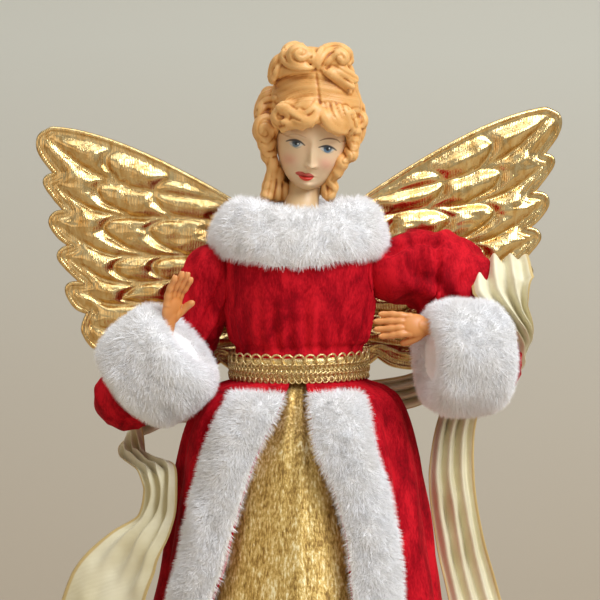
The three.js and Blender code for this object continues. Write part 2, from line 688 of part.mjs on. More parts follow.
for (const arm of arms) {
  const { side, shoulder, elbow, wrist, cuff } = arm;
  const reach = elbow.clone().sub(shoulder);
  const bends = arm.bendShares.map(([out, back, down]) => at(
    shoulder.x + out * reach.x, shoulder.y + back * reach.y, shoulder.z + down * reach.z));
  const upperPath = new THREE.CatmullRomCurve3([shoulder, ...bends, elbow]);

  // Each core is bare wire at the elbow, where it bends, and wadded further on.
  const forearm = wrist.clone().sub(elbow).normalize();
  const coreEnd = wrist.clone().addScaledVector(forearm, -wristRadius - gap);
  const bareShare = 1 - elbowBall / upperPath.getLength();
  piece(`${side}_upper_arm_core`, join(
    tube(upperPath, (t) => (t > bareShare ? wireRadius : coreRadius), 6, 8),
    ball(shoulder, pivotBall, 8, 5),
  ).subtract(ball(elbow, pivotBall + 2 * gap, 8, 5)), wadding);
  piece(`${side}_forearm_core`, join(
    rod(elbow, coreEnd, wireRadius, 6),
    rod(elbow.clone().addScaledVector(forearm, 0.6 * elbowBall), coreEnd, coreRadius, 6),
    ball(elbow, pivotBall, 8, 5),
  ), wadding);

  // Upper sleeve: a cloth tube from a ball at the shoulder to the elbow's ball
  const towardsBody = Math.sign(-shoulder.x);
  const sleeveEnd = upperPath.getTangent(1);
  const sleeveBody = (inset) => join(
    tube(upperPath, (t) => sleeveRadius * mix(0.75, 1, Math.min(1, 4 * t)) - inset, 9, 6),
    ball(shoulder, shoulderBall - inset, 10, 6),
  );
  const bodySide = rod(shoulder.clone().add(at(towardsBody * 0.45 * shoulderBall, 0, 0)),
    shoulder.clone().add(at(towardsBody * 3 * shoulderBall, 0, 0)), 2 * shoulderBall, 8);
  const aim = arm.cuffAim.clone().normalize();
  const cuffFrame = new THREE.Matrix4().lookAt(at(0, 0, 0), aim, at(0, 0, 1));
  const cuffBlank = (grow) => solidOf(skin(cuffShares.map(([share, width]) => ellipseRing(
    cuffRadius * width + grow, cuffRadius * width + grow, 0, 16).map((p) => p
    .applyMatrix4(cuffFrame).addScaledVector(aim, share * (cuffLength + 2 * grow)).add(cuff)))));
  piece(`${side}_upper_sleeve`, sleeveBody(0)
    .subtract(sleeveBody(sleeveWall))
    .subtract(bodySide)
    .subtract(grownBodice)
    .subtract(ball(elbow, elbowBall + 2 * gap, 12, 8))
    .subtract(cuffBlank(2 * gap)), redVelvet);

  // Elbow sleeve: a hollow ball, open towards the upper arm and along the forearm
  const mouth = sleeveEnd.clone().negate().addScaledVector(forearm, -0.35).normalize();
  const mouthWay = straight(elbow.clone().addScaledVector(mouth, -0.2 * elbowBall),
    elbow.clone().addScaledVector(mouth, 1.5 * elbowBall));
  const mouthCut = tube(mouthWay, (t) => elbowBall * mix(0.2, 1.9, t), 14, 1);
  piece(`${side}_elbow_sleeve`, ball(elbow, elbowBall, 11, 7)
    .subtract(ball(elbow, elbowBall - sleeveWall, 11, 7))
    .subtract(mouthCut)
    .subtract(rod(elbow, wrist, coreRadius + gap)), redVelvet);

  const boreFrom = elbow.clone().addScaledVector(forearm, -overrun);
  const boreTo = wrist.clone().addScaledVector(forearm, overrun);
  piece(`${side}_fur_cuff`, cuffBlank(0)
    .subtract(rod(boreFrom, boreTo, coreRadius + 2 * gap))
    .subtract(ball(elbow, elbowBall + 2 * gap, 12, 8))
    .subtract(ball(wrist, palmWide + 3 * gap, 12, 8)), whitePlush);

  piece(`${side}_hand`, hand(arm), handPlastic);
}

// Wings. A row of seams gives a seam's root, bend and end, and a lobe the edge points after its seam.
// All are shares of the span and of the height above the wing's foot.
const wingSeamShares = [
  [0.603, 0.667, 0.981, 0.951, 0.992],
  [0.56, 0.608, 0.62, 0.934, 0.812],
  [0.515, 0.65, 0.495, 0.894, 0.661],
  [0.43, 0.66, 0.39, 0.87, 0.522],
  [0.36, 0.63, 0.265, 0.825, 0.371],
  [0.3, 0.6, 0.165, 0.809, 0.256],
  [0.25, 0.5, 0.125, 0.725, 0.1],
  [0.2, 0.35, 0.15, 0.55, 0.055],
  [0.155, 0.2, 0.11, 0.3, 0.07],
  [0.135, 0.12, 0.1, 0.165, 0.055],
];
const wingLobeShares = [
  [[0.995, 0.964], [1.002, 0.923], [0.983, 0.877]],
  [[0.969, 0.797], [0.976, 0.773], [0.946, 0.725]],
  [[0.942, 0.649], [0.955, 0.611], [0.919, 0.557]],
  [[0.912, 0.506], [0.923, 0.475], [0.881, 0.422]],
  [[0.881, 0.367], [0.892, 0.336], [0.858, 0.278]],
  [[0.83, 0.2], [0.824, 0.165], [0.789, 0.118]],
  [[0.725, 0.04], [0.686, 0.015], [0.608, 0.015]],
  [[0.51, 0.015], [0.431, 0.008], [0.353, 0.03]],
  [[0.265, 0.045], [0.23, 0.03], [0.195, 0.035]],
];
const lobeSteps = 4;
const backPuffShare = 0.7;
const wingSteps = 6;
const wingInset = pipingRadius + gap;

// Where a wing's flat pattern lies: sideways from the axis, up from the foot, and through its thickness
function wingPlace(side, lift, x, z, depth = 0) {
  const reach = x - wingRootOut;
  const sweep = radians(wingSweepDegrees);
  const back = wingBack + reach * Math.sin(sweep) + depth * Math.cos(sweep);
  const out = wingRootOut + reach * Math.cos(sweep) - depth * Math.sin(sweep);
  return at(side * out, back, z + (lift * reach) / wingSpan);
}
const seamBend = (root, bend, end, t) => root * (1 - t) ** 2 + 2 * bend * t * (1 - t) + end * t * t;

// The wing's lines run from root to edge: one on each seam and three on each lobe.
const wingLines = [];
for (let lobe = 0; lobe < wingSeamShares.length; lobe++) {
  const seam = wingSeamShares[lobe];
  const next = wingSeamShares[lobe + 1] ?? seam;
  const ends = [[seam[3], seam[4]], ...(wingLobeShares[lobe] ?? [])];
  ends.forEach(([endX, endZ], step) => {
    const share = step / lobeSteps;
    wingLines.push({
      root: [wingRootOut, wingFoot + wingTall * mix(seam[0], next[0], share)],
      bend: [wingSpan * mix(seam[1], next[1], share), wingFoot + wingTall * mix(seam[2], next[2], share)],
      end: [wingSpan * endX, wingFoot + wingTall * endZ],
      puff: Math.sin(Math.PI * share) ** 0.7,
    });
  });
}

// The outward normal of the edge at each line's end
const edgeNormals = wingLines.map((line, i) => {
  const before = (wingLines[i - 1] ?? line).end;
  const after = (wingLines[i + 1] ?? line).end;
  const slant = Math.hypot(after[0] - before[0], after[1] - before[1]);
  return [(before[1] - after[1]) / slant, (after[0] - before[0]) / slant];
});

function wingPanel(side, lift) {
  const rows = wingLines.map((line, i) => {
    const fromTop = Math.max(0, 1 - i / lobeSteps);
    const fromFoot = Math.max(0, 1 - (wingLines.length - 1 - i) / lobeSteps);
    const front = [];
    const back = [];
    const end = [line.end[0] - edgeNormals[i][0] * wingInset, line.end[1] - edgeNormals[i][1] * wingInset];
    for (let j = 0; j <= wingSteps; j++) {
      const t = j / wingSteps;
      const x = seamBend(line.root[0] + wingInset, line.bend[0], end[0], t);
      const shift = 1.2 * wingInset * (fromFoot - fromTop);
      const z = seamBend(line.root[1], line.bend[1], end[1], t) + shift;
      const swell = line.puff * Math.min(1, 5 * t) * (1 - t ** 8);
      const thick = 0.5 * (wingPlate + wingPuff * swell * mix(0.5, 1, t));
      front.push(wingPlace(side, lift, x, z, -thick));
      back.unshift(wingPlace(side, lift, x, z, mix(0.5 * wingPlate, thick, backPuffShare)));
    }
    return [...front, ...back];
  });
  return skin(rows);
}

// A round cord round the whole edge, up the root line and back to the start
function wingPiping(side, lift) {
  const top = wingLines[0];
  const path = Array.from({ length: wingSteps }, (_, j) => [0, 1].map((axis) => seamBend(
    top.root[axis], top.bend[axis], top.end[axis], j / wingSteps)));
  path.push(...wingLines.map((line) => line.end));
  path.push(wingLines[wingLines.length - 1].root);
  const cordSides = 5;
  return skin(path.map(([x, z], i) => {
    const [x0, z0] = path[(i + path.length - 1) % path.length];
    const [x1, z1] = path[(i + 1) % path.length];
    const slant = Math.hypot(x1 - x0, z1 - z0);
    return Array.from({ length: cordSides }, (_, s) => {
      const turn = (s / cordSides) * fullTurn;
      const aside = pipingRadius * Math.cos(turn);
      const sideways = [(aside * (z0 - z1)) / slant, (aside * (x1 - x0)) / slant];
      return wingPlace(side, lift, x + sideways[0], z + sideways[1], pipingRadius * Math.sin(turn));
    });
  }), true);
}

for (const [name, side, lift] of [['left', -1, leftWingLift], ['right', 1, rightWingLift]]) {
  piece(`${name}_wing_panel`, wingPanel(side, lift), goldFoil);
  piece(`${name}_wing_piping`, wingPiping(side, lift), goldFoil);
}

// Felt patch between the wings' roots, glued to the bodice's back
const patchOut = wingRootOut - pipingRadius - gap;
const patchFront = bodiceDeep + gap;
const patchFoot = wingFoot + 1.2 * wingTall * wingSeamShares[9][0];
const patchTop = collarHeight - 0.5 * collarTall - 2 * collarFlare;
const patchBack = wingBack + pipingRadius;
piece('wing_patch', skin([patchFoot, patchTop].map((z) => [
  at(-patchOut, patchFront, z),
  at(patchOut, patchFront, z),
  at(patchOut, patchBack, z),
  at(-patchOut, patchBack, z),
])), feltPatch);

// Ribbon. Its middle lies on the coat's back, and each end goes round an elbow and hangs down.
const ribbonBackShares = [0.15, 0.128, 0.105, 0.085, 0.065];
const ribbonBackHalfDegrees = 40;
const ribbonBackSteps = 16;
function ribbonBackRing(turnFromBack) {
  const under = [];
  const over = [];
  for (const down of ribbonBackShares) {
    const row = coatRow(down);
    under.push(coatPoint(Math.PI + turnFromBack, row, 2 * gap));
    over.unshift(coatPoint(Math.PI + turnFromBack, row, 2 * gap + ribbonThick));
  }
  return [...under, ...over];
}
piece('ribbon_back', skin(Array.from({ length: ribbonBackSteps + 1 }, (_, i) => ribbonBackRing(
  radians(ribbonBackHalfDegrees) * mix(-1, 1, i / ribbonBackSteps)))), sheerGold);

// Rows of an end give its middle, as shares out and back of the elbow's reach and up of its height,
// then half of its width across, back and up, as shares of the ribbon's width.
const leftEndShares = [
  [0.5, 0.53, 0.96, 0, 0, 0.2],
  [0.68, 0.46, 0.97, 0, 0, 0.18],
  [0.86, 0.43, 0.95, 0, 0, 0.16],
  [0.98, 0.35, 0.91, -0.08, 0, 0.12],
  [0.98, 0.18, 0.87, -0.13, 0, 0.03],
  [0.91, 0, 0.86, -0.13, -0.04, 0.02],
  [0.83, -0.15, 0.85, -0.13, -0.1, 0],
  [0.79, -0.26, 0.82, -0.15, -0.14, 0],
  [0.82, -0.33, 0.74, -0.18, -0.2, 0],
  [0.95, -0.36, 0.67, -0.3, -0.24, -0.02],
  [1.09, -0.36, 0.58, -0.4, -0.28, -0.04],
  [1.19, -0.36, 0.45, -0.4, -0.28, -0.03],
  [1.27, -0.36, 0.28, -0.4, -0.28, 0],
  [1.34, -0.36, 0.06, -0.4, -0.28, 0],
];
const rightEndShares = [
  [0.42, 0.45, 0.89, 0, 0, 0.17],
  [0.56, 0.37, 0.93, 0, 0, 0.17],
  [0.74, 0.31, 1.03, -0.05, 0, 0.15],
  [0.88, 0.33, 1.16, -0.12, 0, 0.1],
  [1.0, 0.22, 1.21, -0.07, -0.1, 0.1],
  [1.12, 0.12, 1.15, 0.04, -0.13, 0.06],
  [1.14, 0.23, 1.08, 0.06, -0.14, 0.02],
  [1.09, 0.33, 1.01, 0.1, -0.1, 0.02],
  [0.97, 0.35, 0.95, 0.13, -0.06, 0],
  [0.81, 0.29, 0.89, 0.17, -0.07, 0],
  [0.75, 0.2, 0.76, 0.22, -0.08, 0],
  [0.79, 0.2, 0.62, 0.22, -0.12, 0],
  [0.87, 0.2, 0.48, 0.24, -0.14, 0],
  [0.96, 0.19, 0.28, 0.26, -0.16, 0],
  [1.04, 0.18, 0.06, 0.28, -0.16, 0],
];
const ribbonSag = 1.4;
const ribbonMeetTurn = radians(ribbonBackHalfDegrees) + gap / (2 * waistWide);
for (const [name, side, rows, reach, height] of [
  ['ribbon_left_end', -1, leftEndShares, leftElbowOut, shoulderHeight - leftElbowDrop],
  ['ribbon_right_end', 1, rightEndShares, rightElbowOut, shoulderHeight - rightElbowDrop],
]) {
  const middles = rows.map(([out, back, up]) => at(side * out * reach, back * reach, up * height));
  const endRing = ([, , , across, back, up], index) => {
    const i = index + 1;
    const given = at(side * across, back, up);
    const before = middles[i - 1];
    const after = middles[Math.min(i + 1, rows.length - 1)];
    const along = after.clone().sub(before).normalize();
    const half = given.clone().addScaledVector(along, -given.dot(along));
    half.setLength(given.length() * ribbonWidth);
    const facing = along.clone().cross(half).setLength(-side);
    const under = [];
    const over = [];
    for (const share of [-1, -0.5, 0, 0.5, 1]) {
      const bow = ribbonSag * (i % 2 ? 1 : -1) * (1 - Math.abs(share));
      const middle = middles[i].clone().addScaledVector(half, share).addScaledVector(facing, bow);
      under.push(middle);
      over.unshift(middle.clone().addScaledVector(facing, ribbonThick));
    }
    return [...under, ...over];
  };
  piece(name, skin([ribbonBackRing(-side * ribbonMeetTurn), ...rows.slice(1).map(endRing)]), sheerGold);
}

export default topper;
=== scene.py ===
import math
import bpy
import numpy as np
from mathutils import Matrix, Vector, noise


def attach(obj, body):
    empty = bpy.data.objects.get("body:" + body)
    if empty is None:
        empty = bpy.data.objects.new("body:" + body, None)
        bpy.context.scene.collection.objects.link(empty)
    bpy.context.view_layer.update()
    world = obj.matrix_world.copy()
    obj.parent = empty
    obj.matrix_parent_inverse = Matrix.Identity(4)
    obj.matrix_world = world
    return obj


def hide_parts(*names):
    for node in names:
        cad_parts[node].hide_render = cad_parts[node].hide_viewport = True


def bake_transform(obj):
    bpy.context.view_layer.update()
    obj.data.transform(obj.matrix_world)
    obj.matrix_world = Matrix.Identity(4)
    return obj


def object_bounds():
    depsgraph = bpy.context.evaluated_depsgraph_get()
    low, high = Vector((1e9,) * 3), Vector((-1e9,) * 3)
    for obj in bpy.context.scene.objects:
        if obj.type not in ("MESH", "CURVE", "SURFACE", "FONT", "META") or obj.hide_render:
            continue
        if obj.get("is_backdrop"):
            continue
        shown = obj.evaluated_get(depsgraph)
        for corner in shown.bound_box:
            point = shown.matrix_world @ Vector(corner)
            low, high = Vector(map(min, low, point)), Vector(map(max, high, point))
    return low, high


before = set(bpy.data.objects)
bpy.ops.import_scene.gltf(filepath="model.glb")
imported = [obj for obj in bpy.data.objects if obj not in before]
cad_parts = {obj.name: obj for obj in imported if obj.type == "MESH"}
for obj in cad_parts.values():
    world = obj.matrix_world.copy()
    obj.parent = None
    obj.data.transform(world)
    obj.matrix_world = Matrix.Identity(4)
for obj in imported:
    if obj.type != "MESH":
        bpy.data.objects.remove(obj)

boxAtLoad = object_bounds()
print("frame loaded")


mm = 0.001  # all shapes are worked out in millimetres and become metres in newPiece


def toLinear(hexColor):
    channels = [int(hexColor[i:i + 2], 16) / 255 for i in (1, 3, 5)]
    return tuple(c / 12.92 if c <= 0.04045 else ((c + 0.055) / 1.055) ** 2.4 for c in channels) + (1.0,)


def addNode(tree, kind, settings=None, inputs=None, into=None):
    node = tree.nodes.new(kind)
    for name, value in (settings or {}).items():
        setattr(node, name, value)
    for name, value in (inputs or {}).items():
        if isinstance(value, bpy.types.NodeSocket):
            tree.links.new(value, node.inputs[name])
        else:
            node.inputs[name].default_value = value
    for name, socket in (into or {}).items():
        tree.links.new(node.outputs[name], socket)
    return node


def newFinish(name, **shader):
    material = bpy.data.materials.new(name)
    material.use_nodes = True
    tree = material.node_tree
    surface = tree.nodes["Principled BSDF"].inputs
    for socket, value in shader.items():
        surface[socket.replace("_", " ")].default_value = value
    return material, tree, surface


def colorSteps(tree, factor, steps, into):
    ramp = addNode(tree, "ShaderNodeValToRGB", inputs={"Fac": factor}, into={"Color": into})
    while len(ramp.color_ramp.elements) < len(steps):
        ramp.color_ramp.elements.new(0.5)
    for element, (place, hexColor) in zip(ramp.color_ramp.elements, steps):
        element.position = place
        element.color = toLinear(hexColor)


def newPiece(name, points, faces, material):
    mesh = bpy.data.meshes.new(name)
    mesh.from_pydata((np.asarray(points, float) * mm).tolist(), [], [tuple(int(i) for i in f) for f in faces])
    mesh.materials.append(material)
    mesh.shade_smooth()
    piece = bpy.data.objects.new(name, mesh)
    bpy.context.scene.collection.objects.link(piece)
    return piece


def paintPoints(piece, name, values, kind="FLOAT"):
    layer = piece.data.attributes.new(name, kind, "POINT")
    field = {"FLOAT": "value", "FLOAT_COLOR": "color"}[kind]
    layer.data.foreach_set(field, np.asarray(values, np.float32).ravel())


def gridFaces(rows, columns, wrapRows=False, wrapColumns=False):
    r = np.arange(rows if wrapRows else rows - 1)
    c = np.arange(columns if wrapColumns else columns - 1)
    r, c = np.meshgrid(r, c, indexing="ij")
    r2, c2 = (r + 1) % rows, (c + 1) % columns
    quads = np.stack([r * columns + c, r * columns + c2, r2 * columns + c2, r2 * columns + c], axis=-1)
    return quads.reshape(-1, 4).tolist()


# Faces of a closed body, all turned over where its volume comes out negative
def turnedOut(points, faces):
    firsts = np.array([f[:3] for f in faces])
    rests = np.array([[f[0], f[2], f[3]] for f in faces if len(f) == 4])
    volume = sum((points[t[:, 0]] * np.cross(points[t[:, 1]], points[t[:, 2]])).sum() for t in (firsts, rests))
    return [f[::-1] for f in faces] if volume < 0 else faces


def unit(v):
    v = np.asarray(v, float)
    return v / np.maximum(np.linalg.norm(v, axis=-1, keepdims=True), 1e-9)


# A smooth line through points, with an even number of steps to each span
def lineThrough(points, steps=12, closed=False):
    p = np.asarray(points, float)
    ends = (p[-1:], p[:1]) if closed else (2 * p[:1] - p[1:2], 2 * p[-1:] - p[-2:-1])
    q = np.vstack([ends[0], p, ends[1]] + ([p[1:2]] if closed else []))
    out = []
    spans = len(p) if closed else len(p) - 1
    for i in range(spans):
        a, b, c, d = q[i], q[i + 1], q[i + 2], q[i + 3]
        for t in np.linspace(0, 1, steps, endpoint=False):
            out.append(0.5 * (2 * b + (c - a) * t + (2 * a - 5 * b + 4 * c - d) * t * t + (3 * b - a - 3 * c + d) * t ** 3))
    if not closed:
        out.append(p[-1])
    return np.array(out)


def evenly(line, count):
    line = np.asarray(line, float)
    lengths = np.concatenate([[0], np.cumsum(np.linalg.norm(np.diff(line, axis=0), axis=1))])
    places = np.linspace(0, lengths[-1], count)
    return np.stack([np.interp(places, lengths, line[:, k]) for k in range(line.shape[1])], axis=1)


def smoothTable(rows, place, column):
    dense = lineThrough(rows, 10)
    keep = np.maximum.accumulate(dense[:, 0])
    return np.interp(place, keep, dense[:, column])


def roundTurn(count):
    return np.linspace(0, 2 * np.pi, count, endpoint=False)


def gridNormals(grid, wrapColumns):
    if wrapColumns:
        across = np.roll(grid, -1, axis=1) - np.roll(grid, 1, axis=1)
    else:
        across = np.gradient(grid, axis=1)
    return unit(np.cross(np.gradient(grid, axis=0), across))


# A cloth: a grid of points on its outer side, and the same grid moved in by its thickness
def clothPiece(name, grid, thick, material, outward, wrapColumns=False):
    rows, columns = grid.shape[:2]
    normals = gridNormals(grid, wrapColumns)
    if (normals * outward).sum() < 0:
        normals = -normals
    inner = grid - normals * thick
    points = np.concatenate([grid.reshape(-1, 3), inner.reshape(-1, 3)])
    total = rows * columns
    faces = gridFaces(rows, columns, wrapColumns=wrapColumns)
    backs = [[f[0] + total, f[3] + total, f[2] + total, f[1] + total] for f in faces]
    rims = []
    last = (rows - 1) * columns
    for c in range(columns if wrapColumns else columns - 1):
        d = (c + 1) % columns
        rims.append([d, c, c + total, d + total])
        rims.append([last + c, last + d, last + d + total, last + c + total])
    if not wrapColumns:
        for r in range(rows - 1):
            a, b = r * columns, (r + 1) * columns
            rims.append([a, b, b + total, a + total])
            rims.append([b + columns - 1, a + columns - 1, a + columns - 1 + total, b + columns - 1 + total])
    return newPiece(name, points, turnedOut(points, faces + backs + rims), material)


# A closed body from rings of equal count, with a point at each end
def ringBody(rings):
    rings = np.asarray(rings, float)
    rows, sides = rings.shape[:2]
    points = np.concatenate([rings.reshape(-1, 3), rings[:1].mean(axis=1), rings[-1:].mean(axis=1)])
    faces = gridFaces(rows, sides, wrapColumns=True)
    head, tail = rows * sides, rows * sides + 1
    for s in range(sides):
        t = (s + 1) % sides
        faces.append([t, s, head])
        faces.append([(rows - 1) * sides + s, (rows - 1) * sides + t, tail])
    return points, turnedOut(points, faces)


# Rings along a line: wide and thick are half sizes across and through the band
def sweptRings(line, wide, thick, sides, upward=(0, -1, 0)):
    line = np.asarray(line, float)
    along = unit(np.gradient(line, axis=0))
    side = np.zeros_like(line)
    current = unit(np.cross(along[0], upward))
    for i in range(len(line)):
        current = unit(current - along[i] * np.dot(current, along[i]))
        side[i] = current
    over = unit(np.cross(side, along))
    turn = np.linspace(0, 2 * np.pi, sides, endpoint=False)
    u = np.broadcast_to(wide, len(line))[:, None] * np.cos(turn)
    v = np.broadcast_to(thick, len(line))[:, None] * np.sin(turn)
    return line[:, None, :] + side[:, None, :] * u[..., None] + over[:, None, :] * v[..., None]


def joinBodies(bodies):
    points, faces, start = [], [], 0
    for p, f in bodies:
        points.append(p)
        faces += [[i + start for i in face] for face in f]
        start += len(p)
    return np.concatenate(points), faces


def ballBody(centre, radii, across, down, turn):
    tilt = np.linspace(0, np.pi, down + 1)[1:-1]
    around = np.linspace(0, 2 * np.pi, across, endpoint=False)
    rings = np.stack([np.outer(np.sin(tilt), np.cos(around)), np.outer(np.sin(tilt), np.sin(around)),
                      np.outer(np.cos(tilt), np.ones(across))], axis=-1)
    points, faces = ringBody(rings)
    points[-2] = (0, 0, 1)
    points[-1] = (0, 0, -1)
    return points * np.asarray(radii, float) @ np.array(turn).T + np.asarray(centre, float), faces


# The mesh of a piece after its modifiers, which are then taken off
def bakeModifiers(piece):
    depsgraph = bpy.context.evaluated_depsgraph_get()
    mesh = bpy.data.meshes.new_from_object(piece.evaluated_get(depsgraph), depsgraph=depsgraph)
    piece.modifiers.clear()
    old = piece.data
    piece.data = mesh
    bpy.data.meshes.remove(old)
    mesh.name = piece.name
    return piece


def moulded(piece, voxel, smoothing):
    remesh = piece.modifiers.new("fuse", "REMESH")
    remesh.mode = "VOXEL"
    remesh.voxel_size = voxel * mm
    remesh.use_smooth_shade = True
    relax = piece.modifiers.new("relax", "SMOOTH")
    relax.factor = 0.5
    relax.iterations = smoothing
    return bakeModifiers(piece)


def wander(points, size, seed=0.0):
    offset = Vector((seed * 17.3, seed * 5.1, seed * 9.7))
    return np.array([noise.noise(Vector(p) / size + offset) for p in np.asarray(points).reshape(-1, 3)])


# Creased cloth: rounded swells that meet in narrow valleys
def crumple(points, size, seed=0.0):
    return 0.5 - 2.2 * np.abs(wander(points, size, seed))


def vertexValues(mesh, name):
    values = np.empty(len(mesh.vertices) * 3, np.float32)
    mesh.vertices.foreach_get(name, values)
    return values.reshape(-1, 3)


# How far each point lies below its neighbours' level: it paints shade into creases
def creaseOf(piece, passes):
    mesh = piece.data
    points, normals = vertexValues(mesh, "co"), vertexValues(mesh, "normal")
    edges = np.empty(len(mesh.edges) * 2, np.int64)
    mesh.edges.foreach_get("vertices", edges)
    a, b = edges.reshape(-1, 2).T
    degree = np.bincount(np.concatenate([a, b]), minlength=len(points))[:, None]

    def average(values):
        total = np.zeros_like(values)
        np.add.at(total, a, values[b])
        np.add.at(total, b, values[a])
        return total / np.maximum(degree, 1)

    soft = points
    for _ in range(passes * 4):
        soft = average(soft)
    hollow = ((soft - points) * normals).sum(axis=1, keepdims=True) * 1000
    for _ in range(passes):
        hollow = average(hollow)
    return hollow[:, 0]


# Materials
def newPattern(name, **shader):
    material, tree, surface = newFinish(name, **shader)
    return material, tree, surface, addNode(tree, "ShaderNodeTexCoord").outputs["Object"]


# Crushed velvet, a cut pile on a knit: deep red, with the pile brushed both ways; its clouds of dark and bright red are
# painted shade and painted sheen where the pile catches light
redVelvet, tree, surface, place = newPattern("crushedRedVelvet", Roughness=0.8, Sheen_Weight=0.22, Sheen_Roughness=0.3,
                                             Sheen_Tint=toLinear("#FF3A48"), Specular_IOR_Level=0.12)
brushed = addNode(tree, "ShaderNodeMapping", inputs={"Vector": place, "Scale": (1.0, 1.0, 0.45)}).outputs[0]
cloud = addNode(tree, "ShaderNodeTexNoise", inputs={
    "Vector": brushed, "Scale": 110.0, "Detail": 5.0, "Roughness": 0.62, "Distortion": 0.6}).outputs[0]
pile = addNode(tree, "ShaderNodeTexNoise", inputs={"Vector": brushed, "Scale": 1500.0, "Detail": 2.0}).outputs[0]
both = addNode(tree, "ShaderNodeMath", {"operation": "MULTIPLY_ADD"}, {0: pile, 1: 0.35, 2: cloud}).outputs[0]
# painted shade and painted sheen: the red is darker where the pile's relief is low and brighter where it is high
colorSteps(tree, both, [(0.42, "#6E000A"), (0.6, "#9C0114"), (0.8, "#CE1524")], surface["Base Color"])
addNode(tree, "ShaderNodeBump", inputs={"Height": both, "Strength": 0.35, "Distance": 0.0006},
        into={"Normal": surface["Normal"]})

# White acrylic plush, a 5 mm pile: bright and matt, mottled at random from near white to white
whitePlush, tree, surface, place = newPattern("whitePlushFibre", Roughness=0.9, Sheen_Weight=0.25, Sheen_Roughness=0.5,
                                              Specular_IOR_Level=0.15)
cloud = addNode(tree, "ShaderNodeTexNoise", inputs={"Vector": place, "Scale": 90.0, "Detail": 3.0}).outputs[0]
colorSteps(tree, cloud, [(0.35, "#FBFAF8"), (0.6, "#FFFFFF")], surface["Base Color"])
plushBacking, tree, surface, place = newPattern("whitePlushBacking", Base_Color=toLinear("#FBFAF8"), Roughness=1.0)
cloud = addNode(tree, "ShaderNodeTexNoise", inputs={"Vector": place, "Scale": 700.0, "Detail": 2.0}).outputs[0]
addNode(tree, "ShaderNodeBump", inputs={"Height": cloud, "Strength": 0.6, "Distance": 0.0005},
        into={"Normal": surface["Normal"]})

# Foil lame, gold film on a fine knit: a mirror broken up by 0.6 mm ribs and by crinkles across the quilting
goldLame, tree, surface, place = newPattern("goldFoilLame", Metallic=1.0, Roughness=0.2, Base_Color=toLinear("#E6C686"))
ribs = addNode(tree, "ShaderNodeTexWave", {"bands_direction": "X"}, {
    "Vector": place, "Scale": 520.0, "Distortion": 3.0, "Detail": 2.0, "Detail Scale": 1.4}).outputs["Fac"]
flow = addNode(tree, "ShaderNodeMapping", inputs={"Vector": place, "Scale": (1.0, 1.0, 0.3)}).outputs[0]
crinkle = addNode(tree, "ShaderNodeTexNoise", inputs={
    "Vector": flow, "Scale": 420.0, "Detail": 4.0, "Roughness": 0.6, "Distortion": 0.8}).outputs[0]
height = addNode(tree, "ShaderNodeMath", {"operation": "MULTIPLY_ADD"}, {0: ribs, 1: 0.3, 2: crinkle}).outputs[0]
addNode(tree, "ShaderNodeBump", inputs={"Height": height, "Strength": 0.32, "Distance": 0.0005},
        into={"Normal": surface["Normal"]})
# painted shade and painted highlight: the gold is darker in the crinkles' hollows and paler on their crests
colorSteps(tree, crinkle, [(0.3, "#CFA25C"), (0.6, "#E8CB90")], surface["Base Color"])

# Lurex brocade, gilt slit film in a brown ground: upright glints of bright yellow on a duller weave
goldBrocade, tree, surface, place = newPattern("lurexBrocade", Metallic=0.6, Roughness=0.4)
upright = addNode(tree, "ShaderNodeMapping", inputs={"Vector": place, "Scale": (1.0, 1.0, 0.3)}).outputs[0]
slits = addNode(tree, "ShaderNodeTexNoise", inputs={
    "Vector": upright, "Scale": 1300.0, "Detail": 3.0, "Roughness": 0.7}).outputs[0]
figure = addNode(tree, "ShaderNodeTexNoise", inputs={
    "Vector": upright, "Scale": 240.0, "Detail": 4.0, "Distortion": 1.0}).outputs[0]
weave = addNode(tree, "ShaderNodeTexWave", {"bands_direction": "Z"}, {
    "Vector": place, "Scale": 700.0, "Distortion": 2.5}).outputs["Fac"]
quiet = addNode(tree, "ShaderNodeMath", {"operation": "MULTIPLY"}, {0: figure, 1: 0.35}).outputs[0]
glint = addNode(tree, "ShaderNodeMath", {"operation": "MULTIPLY_ADD"}, {0: slits, 1: 0.65, 2: quiet}).outputs[0]
colorSteps(tree, glint, [(0.38, "#8A6A34"), (0.46, "#B8944C"), (0.54, "#DCBC70"), (0.64, "#FFF2C0")],
           surface["Base Color"])
height = addNode(tree, "ShaderNodeMath", {"operation": "MULTIPLY_ADD"}, {0: weave, 1: 0.25, 2: slits}).outputs[0]
addNode(tree, "ShaderNodeBump", inputs={"Height": height, "Strength": 0.45, "Distance": 0.0005},
        into={"Normal": surface["Normal"]})

# Gimp braid, gilt film wound round a cord: the gold is paler on its raised grain and darker in the hollows, painted
# highlight and painted shade
gimpBraid, tree, surface, place = newPattern("giltGimpBraid", Metallic=0.8, Roughness=0.36)
wound = addNode(tree, "ShaderNodeTexNoise", inputs={"Vector": place, "Scale": 2200.0, "Detail": 2.0}).outputs[0]
# painted highlight on the raised grain, painted shade in its hollows
colorSteps(tree, wound, [(0.35, "#C0A060"), (0.55, "#E8CE8C"), (0.7, "#FBEEC4")], surface["Base Color"])
addNode(tree, "ShaderNodeBump", inputs={"Height": wound, "Strength": 0.5, "Distance": 0.0003},
        into={"Normal": surface["Normal"]})

